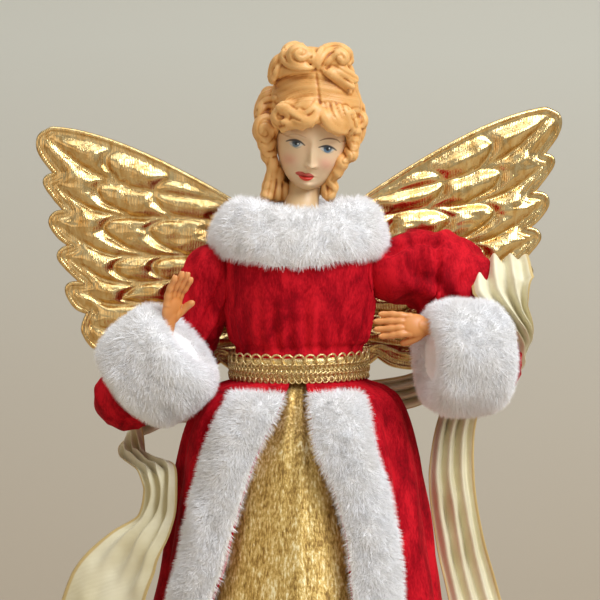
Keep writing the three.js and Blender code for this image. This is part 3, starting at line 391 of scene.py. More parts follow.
# Woven metallic organza ribbon: a thin satin sheet of pale gold, with a corded edge
sheerRibbon, tree, surface, place = newPattern("goldOrganza", Metallic=0.0, Roughness=0.45, Sheen_Weight=0.3)
threads = addNode(tree, "ShaderNodeTexWave", {"bands_direction": "Z"}, {
    "Vector": place, "Scale": 700.0, "Distortion": 0.6}).outputs["Fac"]
cloud = addNode(tree, "ShaderNodeTexNoise", inputs={"Vector": place, "Scale": 60.0, "Detail": 3.0}).outputs[0]
edge = addNode(tree, "ShaderNodeAttribute", {"attribute_name": "edge"}).outputs["Fac"]
shade = addNode(tree, "ShaderNodeMix", {"data_type": "RGBA"}, {"Factor": edge, 7: toLinear("#CDB272")},
                into={2: surface["Base Color"]})
colorSteps(tree, cloud, [(0.35, "#DDD4AC"), (0.62, "#EBE4C2")], shade.inputs[6])
addNode(tree, "ShaderNodeBump", inputs={"Height": threads, "Strength": 0.25, "Distance": 0.0003},
        into={"Normal": surface["Normal"]})

# Rotocast vinyl, painted: a soft satin skin, with paints sprayed and brushed on, and a painted shade down the left side
# of the nose
paintedVinyl, tree, surface, place = newPattern("paintedFaceVinyl", Roughness=0.42, Specular_IOR_Level=0.45,
                                                Subsurface_Weight=0.08, Subsurface_Scale=0.002)
addNode(tree, "ShaderNodeAttribute", {"attribute_name": "paintAndShade"}, into={"Color": surface["Base Color"]})
orange = addNode(tree, "ShaderNodeTexNoise", inputs={"Vector": place, "Scale": 900.0, "Detail": 2.0}).outputs[0]
addNode(tree, "ShaderNodeBump", inputs={"Height": orange, "Strength": 0.05, "Distance": 0.0003},
        into={"Normal": surface["Normal"]})

# Moulded hair in the same vinyl: a warm blond, with painted shade that browns it in the grooves where the locks meet
hairVinyl, tree, surface = newFinish("mouldedBlondVinyl", Roughness=0.45, Specular_IOR_Level=0.45, Subsurface_Weight=0.06,
                                     Subsurface_Scale=0.002)
creaseShade = addNode(tree, "ShaderNodeAttribute", {"attribute_name": "creaseShade"}).outputs["Fac"]
colorSteps(tree, creaseShade, [(0.0, "#EDB974"), (0.4, "#E2A75E"), (0.62, "#C6833A"), (0.9, "#9C5B25")], surface["Base Color"])

# Hands of soft vinyl: tan, with painted shade, a warmer and darker tone, between the fingers
handVinyl, tree, surface = newFinish("tanHandVinyl", Roughness=0.4, Subsurface_Weight=0.1, Subsurface_Scale=0.002)
creaseShade = addNode(tree, "ShaderNodeAttribute", {"attribute_name": "creaseShade"}).outputs["Fac"]
colorSteps(tree, creaseShade, [(0.0, "#DE9A5C"), (0.45, "#D08542"), (0.8, "#A8602A")], surface["Base Color"])

# What the dress hides: nodes, finish, metallic, roughness, then the grain's scale, detail, colours and relief
hiddenFinishes = [
    # grey-brown paper board, wound and glued: matt, with short fibres
    (["base_cone"], "conePaperBoard", 0.0, 0.9, 500.0, 4.0, ("#A98F72", "#C4AC8E"), 0),
    # cream polyethylene, blow moulded: satin with a slight mottle
    (["torso_form"], "creamBlowMoulding", 0.0, 0.5, 200.0, 2.0, ("#E2D1BA", "#EADBC6"), 0),
    # galvanised steel wire: dull grey, drawn along its length
    (["shoulder_wire"], "galvanisedWire", 1.0, 0.45, 900.0, 2.0, ("#8A8A86", "#A5A5A0"), 0),
    # polyester wadding: white, loose and matt
    ([side + part + "_core" for side in ("left_", "right_") for part in ("upper_arm", "forearm")],
     "polyesterWadding", 0.0, 1.0, 600.0, 5.0, ("#DDD8CF", "#F2EFEA"), 0.7),
    # craft felt: matted red wool, no shine
    (["wing_patch"], "redCraftFelt", 0.0, 1.0, 900.0, 4.0, ("#7E0D18", "#A51824"), 0)]
for nodes, name, metallic, roughness, scale, detail, (dark, light), relief in hiddenFinishes:
    finish, tree, surface, place = newPattern(name, Metallic=metallic, Roughness=roughness)
    grain = addNode(tree, "ShaderNodeTexNoise", inputs={"Vector": place, "Scale": scale, "Detail": detail}).outputs[0]
    colorSteps(tree, grain, [(0.3, dark), (0.7, light)], surface["Base Color"])
    if relief:
        addNode(tree, "ShaderNodeBump", inputs={"Height": grain, "Strength": relief, "Distance": 0.0006},
            into={"Normal": surface["Normal"]})
    for node in nodes:
        for slot in bpy.data.objects[node].material_slots:
            slot.material = finish
print("materials made")


# Camera, lamps and stage
view = dict(place=(0.0004, -0.9, 0.25), aim=(0.0004, 0.0, 0.2025), angle=14.25, wall="#CCCABC", floor="#B8AA95")
cameraData = bpy.data.cameras.new("viewCamera")
cameraData.sensor_fit = "HORIZONTAL"
cameraData.angle = math.radians(view["angle"])
cameraData.clip_start = 0.01
cameraData.clip_end = 20
camera = bpy.data.objects.new("viewCamera", cameraData)
camera.location = view["place"]
camera.rotation_euler = (Vector(view["aim"]) - Vector(view["place"])).to_track_quat("-Z", "Y").to_euler()
bpy.context.scene.collection.objects.link(camera)
bpy.context.scene.camera = camera

for name, spot, size, power, tone in [("windowLight", (1.1, -1.05, 1.45), 1.1, 42.0, "#F7F9FF"),
                                      ("roomLight", (-1.2, -1.0, 0.5), 1.2, 3.6, "#FFDDB4"),
                                      ("topLight", (-0.2, -0.1, 1.5), 1.0, 7.5, "#F6F9FF")]:
    lampData = bpy.data.lights.new(name, "AREA")
    lampData.size = size
    lampData.energy = power
    lampData.color = toLinear(tone)[:3]
    lamp = bpy.data.objects.new(name, lampData)
    lamp.location = spot
    lamp.rotation_euler = (Vector((0, 0, 0.18)) - Vector(spot)).to_track_quat("-Z", "Y").to_euler()
    bpy.context.scene.collection.objects.link(lamp)

world = bpy.data.worlds.new("paleRoom")
world.use_nodes = True
world.node_tree.nodes["Background"].inputs["Color"].default_value = toLinear("#DCE0E4")
# the lamps' fill stays low, while the eye and the gilt see a pale room
ray = addNode(world.node_tree, "ShaderNodeLightPath").outputs
direct = addNode(world.node_tree, "ShaderNodeMath", {"operation": "MAXIMUM"}, {
    0: ray["Is Camera Ray"], 1: ray["Is Glossy Ray"]})
addNode(world.node_tree, "ShaderNodeMath", {"operation": "MULTIPLY_ADD"}, {0: direct.outputs[0], 1: 0.3, 2: 0.29},
        into={0: world.node_tree.nodes["Background"].inputs["Strength"]})
bpy.context.scene.world = world
bpy.context.scene.view_settings.view_transform = "Standard"

# one pale sheet for floor and wall, with a wide bend behind the object
backdrop, tree, surface, place = newPattern("paleBackdrop", Roughness=1.0, Specular_IOR_Level=0.0)
height = addNode(tree, "ShaderNodeSeparateXYZ", inputs={"Vector": place}).outputs["Z"]
grain = addNode(tree, "ShaderNodeTexNoise", inputs={"Vector": place, "Scale": 1.2, "Detail": 1.0})
mottled = addNode(tree, "ShaderNodeMath", {"operation": "MULTIPLY_ADD"}, {0: grain.outputs["Fac"], 1: 0.1, 2: height})
colorSteps(tree, mottled.outputs[0], [(0.02, view["floor"]), (0.42, view["wall"])], surface["Base Color"])
# seen from behind, the sheet lets the object show
behind = addNode(tree, "ShaderNodeNewGeometry").outputs["Backfacing"]
clear = addNode(tree, "ShaderNodeBsdfTransparent").outputs[0]
addNode(tree, "ShaderNodeMixShader", inputs={0: behind, 1: tree.nodes["Principled BSDF"].outputs[0], 2: clear},
        into={0: tree.nodes["Material Output"].inputs["Surface"]})
bend = [(500 + 700 * math.sin(a), 700 - 700 * math.cos(a)) for a in np.linspace(0, math.pi / 2, 25)]
profile = [(-2500, 0)] + bend + [(1200, 3500)]
corners = [(x, y, z) for y, z in profile for x in (-3500, 3500)]
faces = [(2 * i, 2 * i + 1, 2 * i + 3, 2 * i + 2) for i in range(len(profile) - 1)]
newPiece("paleSweep", corners, faces, backdrop)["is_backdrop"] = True
print("camera and stage set")


# Sizes that several pieces share, in millimetres
fits = dict(bandTop=177.5, waistWide=21.2, waistDeep=16.3, drop=175.5, under=1.35, coat=2.9)


def between(a, b, t):
    return a + (b - a) * t


def softStep(x, low, high):
    t = np.clip((x - low) / (high - low), 0, 1)
    return t * t * (3 - 2 * t)


# What every piece that rides on one body says to the frame
def standFor(piece, body, node):
    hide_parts(node)
    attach(piece, body)


def meshArea(piece, mask=1.0):
    mesh = piece.data
    areas = np.empty(len(mesh.polygons), np.float32)
    mesh.polygons.foreach_get("area", areas)
    return float((areas * mask).sum())


def newTree(name, inputs):
    tree = bpy.data.node_groups.new(name, "GeometryNodeTree")
    tree.interface.new_socket("Geometry", in_out="OUTPUT", socket_type="NodeSocketGeometry")
    tree.interface.new_socket("Geometry", in_out="INPUT", socket_type="NodeSocketGeometry")
    for label, kind, value in inputs:
        socket = tree.interface.new_socket(label, in_out="INPUT", socket_type=kind)
        if value is not None:
            socket.default_value = value
    return tree, tree.nodes.new("NodeGroupInput").outputs


def applyTree(piece, tree, values):
    modifier = piece.modifiers.new(tree.name, "NODES")
    modifier.node_group = tree
    for item in tree.interface.items_tree:
        if item.in_out == "INPUT" and item.name in values:
            modifier[item.identifier] = values[item.name]
    return bakeModifiers(piece)


def realized(tree, planted, finish):
    real = addNode(tree, "GeometryNodeRealizeInstances", inputs={0: planted.outputs[0]})
    return addNode(tree, "GeometryNodeSetMaterial", inputs={"Geometry": real.outputs[0], "Material": finish}).outputs[0]


# Plush: fine tapering strands stand on the backing wherever its pile attribute is 1
pileTree, given = newTree("plushPile", [
    ("Strands per square metre", "NodeSocketFloat", 2.0e6), ("Length", "NodeSocketFloat", 0.005),
    ("Width", "NodeSocketFloat", 0.0004), ("Clump size", "NodeSocketFloat", 0.005), ("Spread", "NodeSocketFloat", 1.2),
    ("Droop", "NodeSocketFloat", 0.25), ("Seed", "NodeSocketInt", 3), ("Finish", "NodeSocketMaterial", None)])
mask = addNode(pileTree, "GeometryNodeInputNamedAttribute", {"data_type": "FLOAT"}, {"Name": "pile"}).outputs["Attribute"]
density = addNode(pileTree, "ShaderNodeMath", {"operation": "MULTIPLY"}, {
    0: mask, 1: given["Strands per square metre"]})
scatter = addNode(pileTree, "GeometryNodeDistributePointsOnFaces", inputs={
    "Mesh": given["Geometry"], "Density": density.outputs[0], "Seed": given["Seed"]})
where = addNode(pileTree, "GeometryNodeInputPosition").outputs[0]
fineness = addNode(pileTree, "ShaderNodeMath", {"operation": "DIVIDE"}, {0: 1.0, 1: given["Clump size"]})
clumps = addNode(pileTree, "ShaderNodeTexNoise", inputs={"Vector": where, "Scale": fineness.outputs[0], "Detail": 2.0})
centred = addNode(pileTree, "ShaderNodeVectorMath", {"operation": "SUBTRACT"}, {
    0: clumps.outputs["Color"], 1: (0.5, 0.5, 0.5)})
away = addNode(pileTree, "ShaderNodeVectorMath", {"operation": "SCALE"}, {0: centred.outputs[0], "Scale": given["Spread"]})
lean = addNode(pileTree, "ShaderNodeVectorMath", {"operation": "ADD"}, {0: scatter.outputs["Normal"], 1: away.outputs[0]})
weight = addNode(pileTree, "ShaderNodeCombineXYZ")
sink = addNode(pileTree, "ShaderNodeMath", {"operation": "MULTIPLY"}, {0: given["Droop"], 1: -1.0})
pileTree.links.new(sink.outputs[0], weight.inputs["Z"])
hang = addNode(pileTree, "ShaderNodeVectorMath", {"operation": "ADD"}, {0: lean.outputs[0], 1: weight.outputs[0]})
jitter = addNode(pileTree, "FunctionNodeRandomValue", {"data_type": "FLOAT_VECTOR"}, {
    0: (-0.3, -0.3, -0.3), 1: (0.3, 0.3, 0.3), "Seed": given["Seed"]})
stray = addNode(pileTree, "ShaderNodeVectorMath", {"operation": "ADD"}, {0: hang.outputs[0], 1: jitter.outputs[0]})
stand = addNode(pileTree, "FunctionNodeAlignRotationToVector", {"axis": "Z"}, {"Vector": stray.outputs[0]})
spin = addNode(pileTree, "FunctionNodeRandomValue", {"data_type": "FLOAT_VECTOR"}, {
    0: (0, 0, 0), 1: (0, 0, 6.283), "Seed": given["Seed"]})
turned = addNode(pileTree, "FunctionNodeRotateRotation", {"rotation_space": "LOCAL"}, {
    0: stand.outputs[0], 1: spin.outputs[0]})
scale = addNode(pileTree, "FunctionNodeRandomValue", {"data_type": "FLOAT"}, {2: 0.6, 3: 1.1, "Seed": given["Seed"]})
halfWidth = addNode(pileTree, "ShaderNodeMath", {"operation": "MULTIPLY"}, {0: given["Width"], 1: 0.5})
strand = addNode(pileTree, "GeometryNodeMeshCone", {"fill_type": "NGON"}, {
    "Vertices": 3, "Side Segments": 1, "Radius Top": 0.0, "Radius Bottom": halfWidth.outputs[0], "Depth": given["Length"]})
planted = addNode(pileTree, "GeometryNodeInstanceOnPoints", inputs={
    "Points": scatter.outputs["Points"], "Instance": strand.outputs["Mesh"], "Rotation": turned.outputs[0],
    "Scale": scale.outputs[1]})
finished = realized(pileTree, planted, given["Finish"])
whole = addNode(pileTree, "GeometryNodeJoinGeometry", inputs={0: finished})
pileTree.links.new(given["Geometry"], whole.inputs[0])
addNode(pileTree, "NodeGroupOutput", inputs={0: whole.outputs[0]})


plush = dict(strands=38000, length=3.0, width=0.24, clump=4.0, spread=1.5, droop=0.45)


# A plush piece: its backing with rounded swells, and the pile on it
def plushPiece(name, points, faces, mask, seed, body, node):
    piece = newPiece(name, points, faces, plushBacking)
    mask = np.asarray(mask, np.float32)
    paintPoints(piece, "pile", mask)
    onFaces = np.array([mask[list(p.vertices)].mean() for p in piece.data.polygons])
    applyTree(piece, pileTree, {
        "Strands per square metre": plush["strands"] / meshArea(piece, onFaces), "Length": plush["length"] * mm,
        "Width": plush["width"] * mm, "Clump size": plush["clump"] * mm, "Spread": plush["spread"],
        "Droop": plush["droop"], "Seed": seed, "Finish": whitePlush})
    standFor(piece, body, node)
    print(name, len(piece.data.polygons), "faces")


# Plush stands in tufts: coarse swells with finer ones on them
def tufts(grid, size, coarseSeed, fineSeed):
    return (1.1 * wander(grid, size, coarseSeed) + 0.5 * wander(grid, 2.6, fineSeed)).reshape(grid.shape[:2])


# Underskirt: gold brocade, gathered at the waist under the coat
underskirt = dict(hem=66.0, folds=9, depth=1.2, thick=0.8, rows=100, columns=220)
underskirtShares = [[0, 0], [0.028, 0], [0.045, 0.06], [0.075, 0.15], [0.155, 0.36], [0.3, 0.49], [0.5, 0.61],
                    [0.75, 0.79], [1, 1]]


def skirtPoints(turn, reach, z, waistOut, deepShare, hem, fold):
    band = fits["waistWide"] + waistOut
    roundness = np.clip((reach - band) / (hem - band), 0, 1) ** 0.6
    deep = reach - between(fits["waistWide"] - fits["waistDeep"], reach * (1 - deepShare), roundness)
    return np.stack(np.broadcast_arrays((reach + fold) * np.sin(turn), -(deep + fold) * np.cos(turn), z), axis=-1)


def underskirtGrid(turn, down, out=0.0):
    spread = smoothTable(underskirtShares, down, 1)
    reach = fits["waistWide"] + fits["under"] + spread * (underskirt["hem"] - fits["waistWide"] - fits["under"]) + out
    z = fits["bandTop"] - down * fits["drop"]
    depth = underskirt["depth"] * np.clip(down - 0.12, 0, None)
    fold = depth * (np.cos(turn * underskirt["folds"] + 0.5 * np.sin(3 * turn)) - 1)
    ripple = 0.5 * np.sin(29 * turn + 5 * down + 1.3 * np.sin(11 * turn)) * np.exp(-down / 0.25)
    fold += ripple * np.clip(down / 0.05, 0, 1) - 0.25
    return skirtPoints(turn, reach, z, fits["under"] + out, 1.0, underskirt["hem"], fold)


down, turn = np.meshgrid(np.linspace(0, 1, underskirt["rows"]), roundTurn(underskirt["columns"]), indexing="ij")
grid = underskirtGrid(turn, down)
piece = clothPiece("goldUnderskirt", grid, underskirt["thick"], goldBrocade, wrapColumns=True, outward=grid * (1, 1, 0))
standFor(piece, "figure", "underskirt")
print("underskirt", len(piece.data.polygons), "faces, area", round(meshArea(piece) / 2, 5))

# Coat skirt: red velvet, open in front, in deep folds that fan out below the belt
coat = dict(hem=73.0, folds=17, depth=4.2, deepShare=0.97, thick=1.0, rows=100, columns=300)
coatShares = [[0, 0], [0.026, 0], [0.036, 0.14], [0.07, 0.29], [0.155, 0.42], [0.3, 0.52], [0.5, 0.63], [0.75, 0.81], [1, 1]]
coatEdgeDegrees = [[0, 7, 6], [0.07, 10.5, 6], [0.155, 19, 8.5], [0.24, 24.5, 15.5], [0.32, 28.5, 19.5], [0.4, 32, 21],
                   [0.5, 37, 21.5], [0.75, 41, 24], [1, 44, 27]]
trim = dict(width=22.0, thick=7.5, inset=1.4, rows=150, across=26)


def coatGrid(turn, down, out=0.0):
    turn, down = np.broadcast_arrays(turn, down)
    spread = smoothTable(coatShares, down, 1)
    waist = fits["waistWide"] + fits["coat"]
    reach = between(waist, coat["hem"], spread)
    z = fits["bandTop"] - down * fits["drop"]
    leftSide = turn > np.pi
    edge = np.radians(np.where(leftSide, smoothTable(coatEdgeDegrees, down, 1), smoothTable(coatEdgeDegrees, down, 2)))
    fromEdge = np.where(leftSide, 2 * np.pi - turn, turn) - edge
    clear = softStep(fromEdge, trim["width"] / reach, (trim["width"] + 0.7 * trim["thick"]) / reach)
    fold = coat["depth"] * clear * np.clip(down / 0.12, 0, 1) * np.minimum(1, 0.3 + down)
    wobble = 0.35 * np.sin(2.3 * turn + 3 * down) + 0.2 * np.sin(5.1 * turn - 6 * down)
    wave = np.cos(turn * coat["folds"] + wobble * np.clip(down * 3, 0, 1))
    folded = 0.5 * fold * (1 - 2 * (0.5 - 0.5 * wave) ** 2.2 - 1)
    gathers = 0.55 * clear * np.sin(41 * turn + 2 * np.sin(9 * turn)) * np.exp(-(down / 0.17) ** 2)
    folded += gathers * np.clip(down / 0.05, 0, 1)
    return skirtPoints(turn, reach + out, z, fits["coat"] + out, coat["deepShare"], coat["hem"], folded)


def coatEdgeTurn(side, down):
    return np.radians(smoothTable(coatEdgeDegrees, down, 1 if side < 0 else 2))


steps = np.linspace(0, 1, coat["rows"])[:, None]
share = np.linspace(0, 1, coat["columns"])[None, :]
turn = between(coatEdgeTurn(1, steps), 2 * np.pi - coatEdgeTurn(-1, steps), share)
grid = coatGrid(turn, steps)
ripple = 0.5 * wander(grid * (1, 1, 0.4), 7.0) + 0.7 * crumple(grid * (1, 1, 0.28), 10.0, 9)
grid += unit(grid * (1, 1, 0)) * (ripple.reshape(coat["rows"], -1, 1) - 0.5) * np.clip(steps * 6 - 0.2, 0, 1)[..., None]
piece = clothPiece("redCoatSkirt", grid, coat["thick"], redVelvet, outward=grid * (1, 1, 0))
standFor(piece, "figure", "coat_skirt")
print("coat", len(piece.data.polygons), "faces, area", round(meshArea(piece) / 2, 5))

# Plush trims on the coat's front edges
trimShares = [[0.04, 1.1], [0.07, 1.15], [0.155, 1.15], [0.3, 1.08], [0.5, 1.05], [0.75, 1.1], [1, 1.1]]
for name, node, side in (("leftPlushTrim", "left_fur_trim", -1), ("rightPlushTrim", "right_fur_trim", 1)):
    downs = np.linspace(trimShares[0][0] + 0.004, 1 - 0.02, trim["rows"])
    rings, masks = [], []
    for d in downs:
        breadth = smoothTable(trimShares, d, 1)
        reach = between(fits["waistWide"] + fits["coat"], coat["hem"], smoothTable(coatShares, d, 1))
        across = np.linspace(0.09, 0.91, trim["across"])
        puff = 0.6 + (trim["thick"] - trim["inset"]) * (0.25 + 0.75 * np.sin(np.pi * (across - 0.07) / 0.86))
        base = np.linspace(0.91, 0.09, trim["across"] // 2)
        shares = np.concatenate([across, base])
        out = np.concatenate([puff, np.full(len(base), 0.75)])
        edge = coatEdgeTurn(side, d) + (shares * breadth - 0.1) * trim["width"] / reach
        # the trim's crown is set off along the slope of the skirt
        rings.append(coatGrid(edge if side > 0 else 2 * np.pi - edge, np.full(len(shares), d), out))
        masks.append(np.concatenate([np.ones(trim["across"]), np.zeros(len(base))]))
    rings = np.array(rings)
    onPile = np.array(masks)[..., None] > 0
    rings += onPile * tufts(rings, 7.5, side, side + 3)[..., None] * unit(rings * (1, 1, 0) + (0, 0, 8))
    points, faces = ringBody(rings)
    plushPiece(name, points, faces, np.append(np.array(masks).ravel(), [0, 0]), 5 + side, "figure", node)


def pushOut(points, centre, radius):
    away = points - np.asarray(centre, float)
    far = np.linalg.norm(away, axis=-1, keepdims=True)
    return np.where(far < radius, np.asarray(centre) + away / np.maximum(far, 1e-6) * radius, points)


# Bodice: red velvet, gathered into the belt
bodice = dict(foot=177.85, top=231.0, wide=29.5, deep=22.5, thick=1.2, rows=100, columns=230, gathers=27)
bodiceShares = [[0, 0, 0], [0.13, 0, 0], [0.2, 0.5, 0.45], [0.42, 0.88, 0.95], [0.68, 1, 1], [0.88, 0.55, 0.5],
                [1, -0.5, -0.35]]


def bodiceGrid(turn, up, out=0.0):
    wide = between(fits["waistWide"] + fits["coat"], bodice["wide"], smoothTable(bodiceShares, up, 1)) + out
    deep = between(fits["waistDeep"] + fits["coat"], bodice["deep"], smoothTable(bodiceShares, up, 2)) + out
    height = between(bodice["foot"], bodice["top"], up)
    fade = np.clip((up - 0.1) / 0.06, 0, 1) * np.clip(1.15 - up, 0, 1) ** 1.5
    pleat = np.cos(bodice["gathers"] * turn + 0.8 * np.sin(4 * turn) + 2.2 * up * np.sin(turn * 2 + 1))
    fold = -0.75 * fade * (1 - pleat) * np.exp(-((up - 0.16) / 0.34) ** 2) - 0.35 * fade * (1 - np.cos(13 * turn + 4 * up))
    return np.stack(np.broadcast_arrays((wide + fold) * np.sin(turn), -(deep + fold) * np.cos(turn), height), axis=-1)


up, turn = np.meshgrid(np.linspace(0, 1, bodice["rows"]), roundTurn(bodice["columns"]), indexing="ij")
grid = bodiceGrid(turn, up)
swell = (0.45 * wander(grid, 6.0, 2) + 0.55 * crumple(grid * (1, 1, 0.45), 11.0, 4)).reshape(bodice["rows"], -1, 1)
grid += unit(grid * (1, 1, 0)) * swell * np.clip(up * 5 - 0.7, 0, 1)[..., None]
for spot in ((-33, 0, 213), (33, 0, 213)):
    grid = pushOut(grid, spot, 11.4)
piece = clothPiece("velvetBodice", grid, bodice["thick"], redVelvet, wrapColumns=True, outward=grid * (1, 1, 0))
standFor(piece, "figure", "bodice")
print("bodice", len(piece.data.polygons), "faces, area", round(meshArea(piece) / 2, 5))

# Arms: the same places as the frame's
shoulderBall, elbowBall = 10.6, 13.2
arms = {
    "left": dict(shoulder=(-33, 0, 213), elbow=(-65, 8, 165), wrist=(-47.6, -24, 195.7), cuff=(-52, -20, 179.5),
                 aim=(0.74, -0.2, 0.64), bends=[(0.14, 0.4, 0.24), (0.34, 1.15, 0.54), (0.68, 1.5, 0.82)],
                 finger=(0.22, -0.12, 0.97), palm=(0.8, -0.6, -0.25)),
    "right": dict(shoulder=(33, 0, 213), elbow=(77, 8, 178), wrist=(47.3, -23, 194), cuff=(61, -19, 182.5),
                  aim=(-0.93, -0.3, 0.02), bends=[(0.22, 0.5, -0.06), (0.46, 0.95, -0.02), (0.76, 1.15, 0.28)],
                  finger=(-0.98, -0.12, 0.06), palm=(-0.1, 0.95, -0.3)),
}


# Plush collar: a fat ring that flares over the shoulders and dips in front
collar = dict(wide=26.5, deep=18.5, tall=23.0, thick=12.5, height=229.5, dip=3.5, flare=3.0, hump=1.8, inset=1.6,
              steps=210, section=52)
turn, rounding = np.meshgrid(roundTurn(collar["steps"]), roundTurn(collar["section"]), indexing="ij")
front = np.clip(np.cos(turn), 0, None) ** 3
hump = np.exp(-((np.abs(np.angle(np.exp(1j * turn))) - 0.84) / 0.36) ** 2)
lift = (0.5 * collar["tall"] - collar["inset"] + collar["hump"] * hump * (np.sin(rounding) > 0)) * np.sin(rounding)
out = (0.5 * collar["thick"] - 0.8 * collar["inset"]) * np.cos(rounding) - collar["flare"] * np.sin(rounding)
grid = np.stack([(collar["wide"] + out) * np.sin(turn), -(collar["deep"] + out) * np.cos(turn),
                 collar["height"] + lift - collar["dip"] * front], axis=-1)
reach = bodiceGrid(turn, np.clip((grid[..., 2] - bodice["foot"]) / (bodice["top"] - bodice["foot"]), 0, 0.999), 0.6)
inside = np.hypot(grid[..., 0], grid[..., 1]) < np.hypot(reach[..., 0], reach[..., 1])
inside &= grid[..., 2] < bodice["top"] + 0.5
grid[..., :2] = np.where(inside[..., None], reach[..., :2], grid[..., :2])
for arm in arms.values():
    grid = pushOut(grid, arm["shoulder"], shoulderBall + 0.6)
outward = unit(np.stack([np.cos(rounding) * np.sin(turn), -np.cos(rounding) * np.cos(turn), np.sin(rounding)], axis=-1))
grid += outward * tufts(grid, 7.0, 4, 5)[..., None]
points = grid.reshape(-1, 3)
faces = turnedOut(points, gridFaces(collar["steps"], collar["section"], wrapRows=True, wrapColumns=True))
mask = (np.cos(rounding) > -0.8) | (np.sin(rounding) > 0.1)
plushPiece("plushCollar", points, faces, mask.ravel(), 11, "figure", "fur_collar")

# Plush cuffs: short fat muffs that the hands come out of
cuff = dict(radius=21.5, length=30.0, inset=1.6, sides=150)
cuffProfile = [[-0.47, 0.02], [-0.51, 0.2], [-0.53, 0.45], [-0.5, 0.72], [-0.4, 0.93], [-0.16, 1], [0.16, 1],
               [0.4, 0.93], [0.5, 0.7], [0.44, 0.4], [0.3, 0.26]]
for side, arm in arms.items():
    aim = unit(arm["aim"])
    sideways = unit(np.cross(aim, (0, 0, 1)))
    over = np.cross(sideways, aim)
    sizes = (cuff["length"] - 2 * cuff["inset"], cuff["radius"] - cuff["inset"])
    profile = evenly(lineThrough(np.array(cuffProfile) * sizes, 8), 66)
    bore = evenly([profile[-1], profile[0]], 10)[1:-1]
    profile = np.concatenate([profile, bore])
    turn = roundTurn(cuff["sides"])
    radial = sideways[None, :] * np.cos(turn)[:, None] + over[None, :] * np.sin(turn)[:, None]
    grid = np.array(arm["cuff"]) + profile[:, 0, None, None] * aim + profile[:, 1, None, None] * radial[None]
    grid = pushOut(grid, arm["elbow"], elbowBall + 1.0)
    grid += radial[None] * (tufts(grid, 7.5, 6, 7) * softStep(profile[:, 1], 8, 14)[:, None])[..., None]
    points = grid.reshape(-1, 3)
    faces = turnedOut(points, gridFaces(len(profile), cuff["sides"], wrapRows=True, wrapColumns=True))
    outside = (profile[:, 1] > 9) | (profile[:, 0] < -0.46 * cuff["length"] + cuff["inset"])
    mask = outside[:, None] & (np.linalg.norm(grid - np.array(arm["elbow"]), axis=-1) > elbowBall + 1.5)
    plushPiece(side + "PlushCuff", points, faces, mask.ravel(), 21, side + "_forearm", side + "_fur_cuff")

# Sleeves: a puffed tube of velvet from a closed shoulder over the elbow into the cuff.
# Girths are given by the share of the length, folds by where they run: round the sleeve in radians, along it in mm.
sleeve = dict(thick=0.8, along=160, around=120)
sleeveLooks = {
    "left": dict(girth=[[0, 10.6], [0.2, 11.2], [0.4, 12.3], [0.6, 12.2]], sag=0.05, seed=3, tuck=0.0,
                 longFolds=[(4.98, 0.16, 2.4, 8, 40), (5.5, 0.15, 2.2, 9, 42), (4.3, 0.2, 1.6, 20, 50)], crossFolds=[(46, 2.2, 1.3)]),
    "right": dict(girth=[[0, 10.6], [0.16, 12.2], [0.34, 14.4], [0.55, 14.0]], sag=0.26, seed=8, tuck=-5.0,
                  longFolds=[(5.2, 0.14, 2.6, 9, 27), (4.1, 0.2, 2.0, 16, 52), (3.5, 0.2, 1.6, 20, 56)],
                  crossFolds=[(27.5, 1.7, 2.1), (42, 2.6, 1.4)]),
}


# A fold: a narrow valley between two soft swells
def valley(far, width, depth, swellWide, swellHigh):
    return swellHigh * depth * np.exp(-(far / (swellWide * width)) ** 2) - depth * np.exp(-(far / width) ** 2)


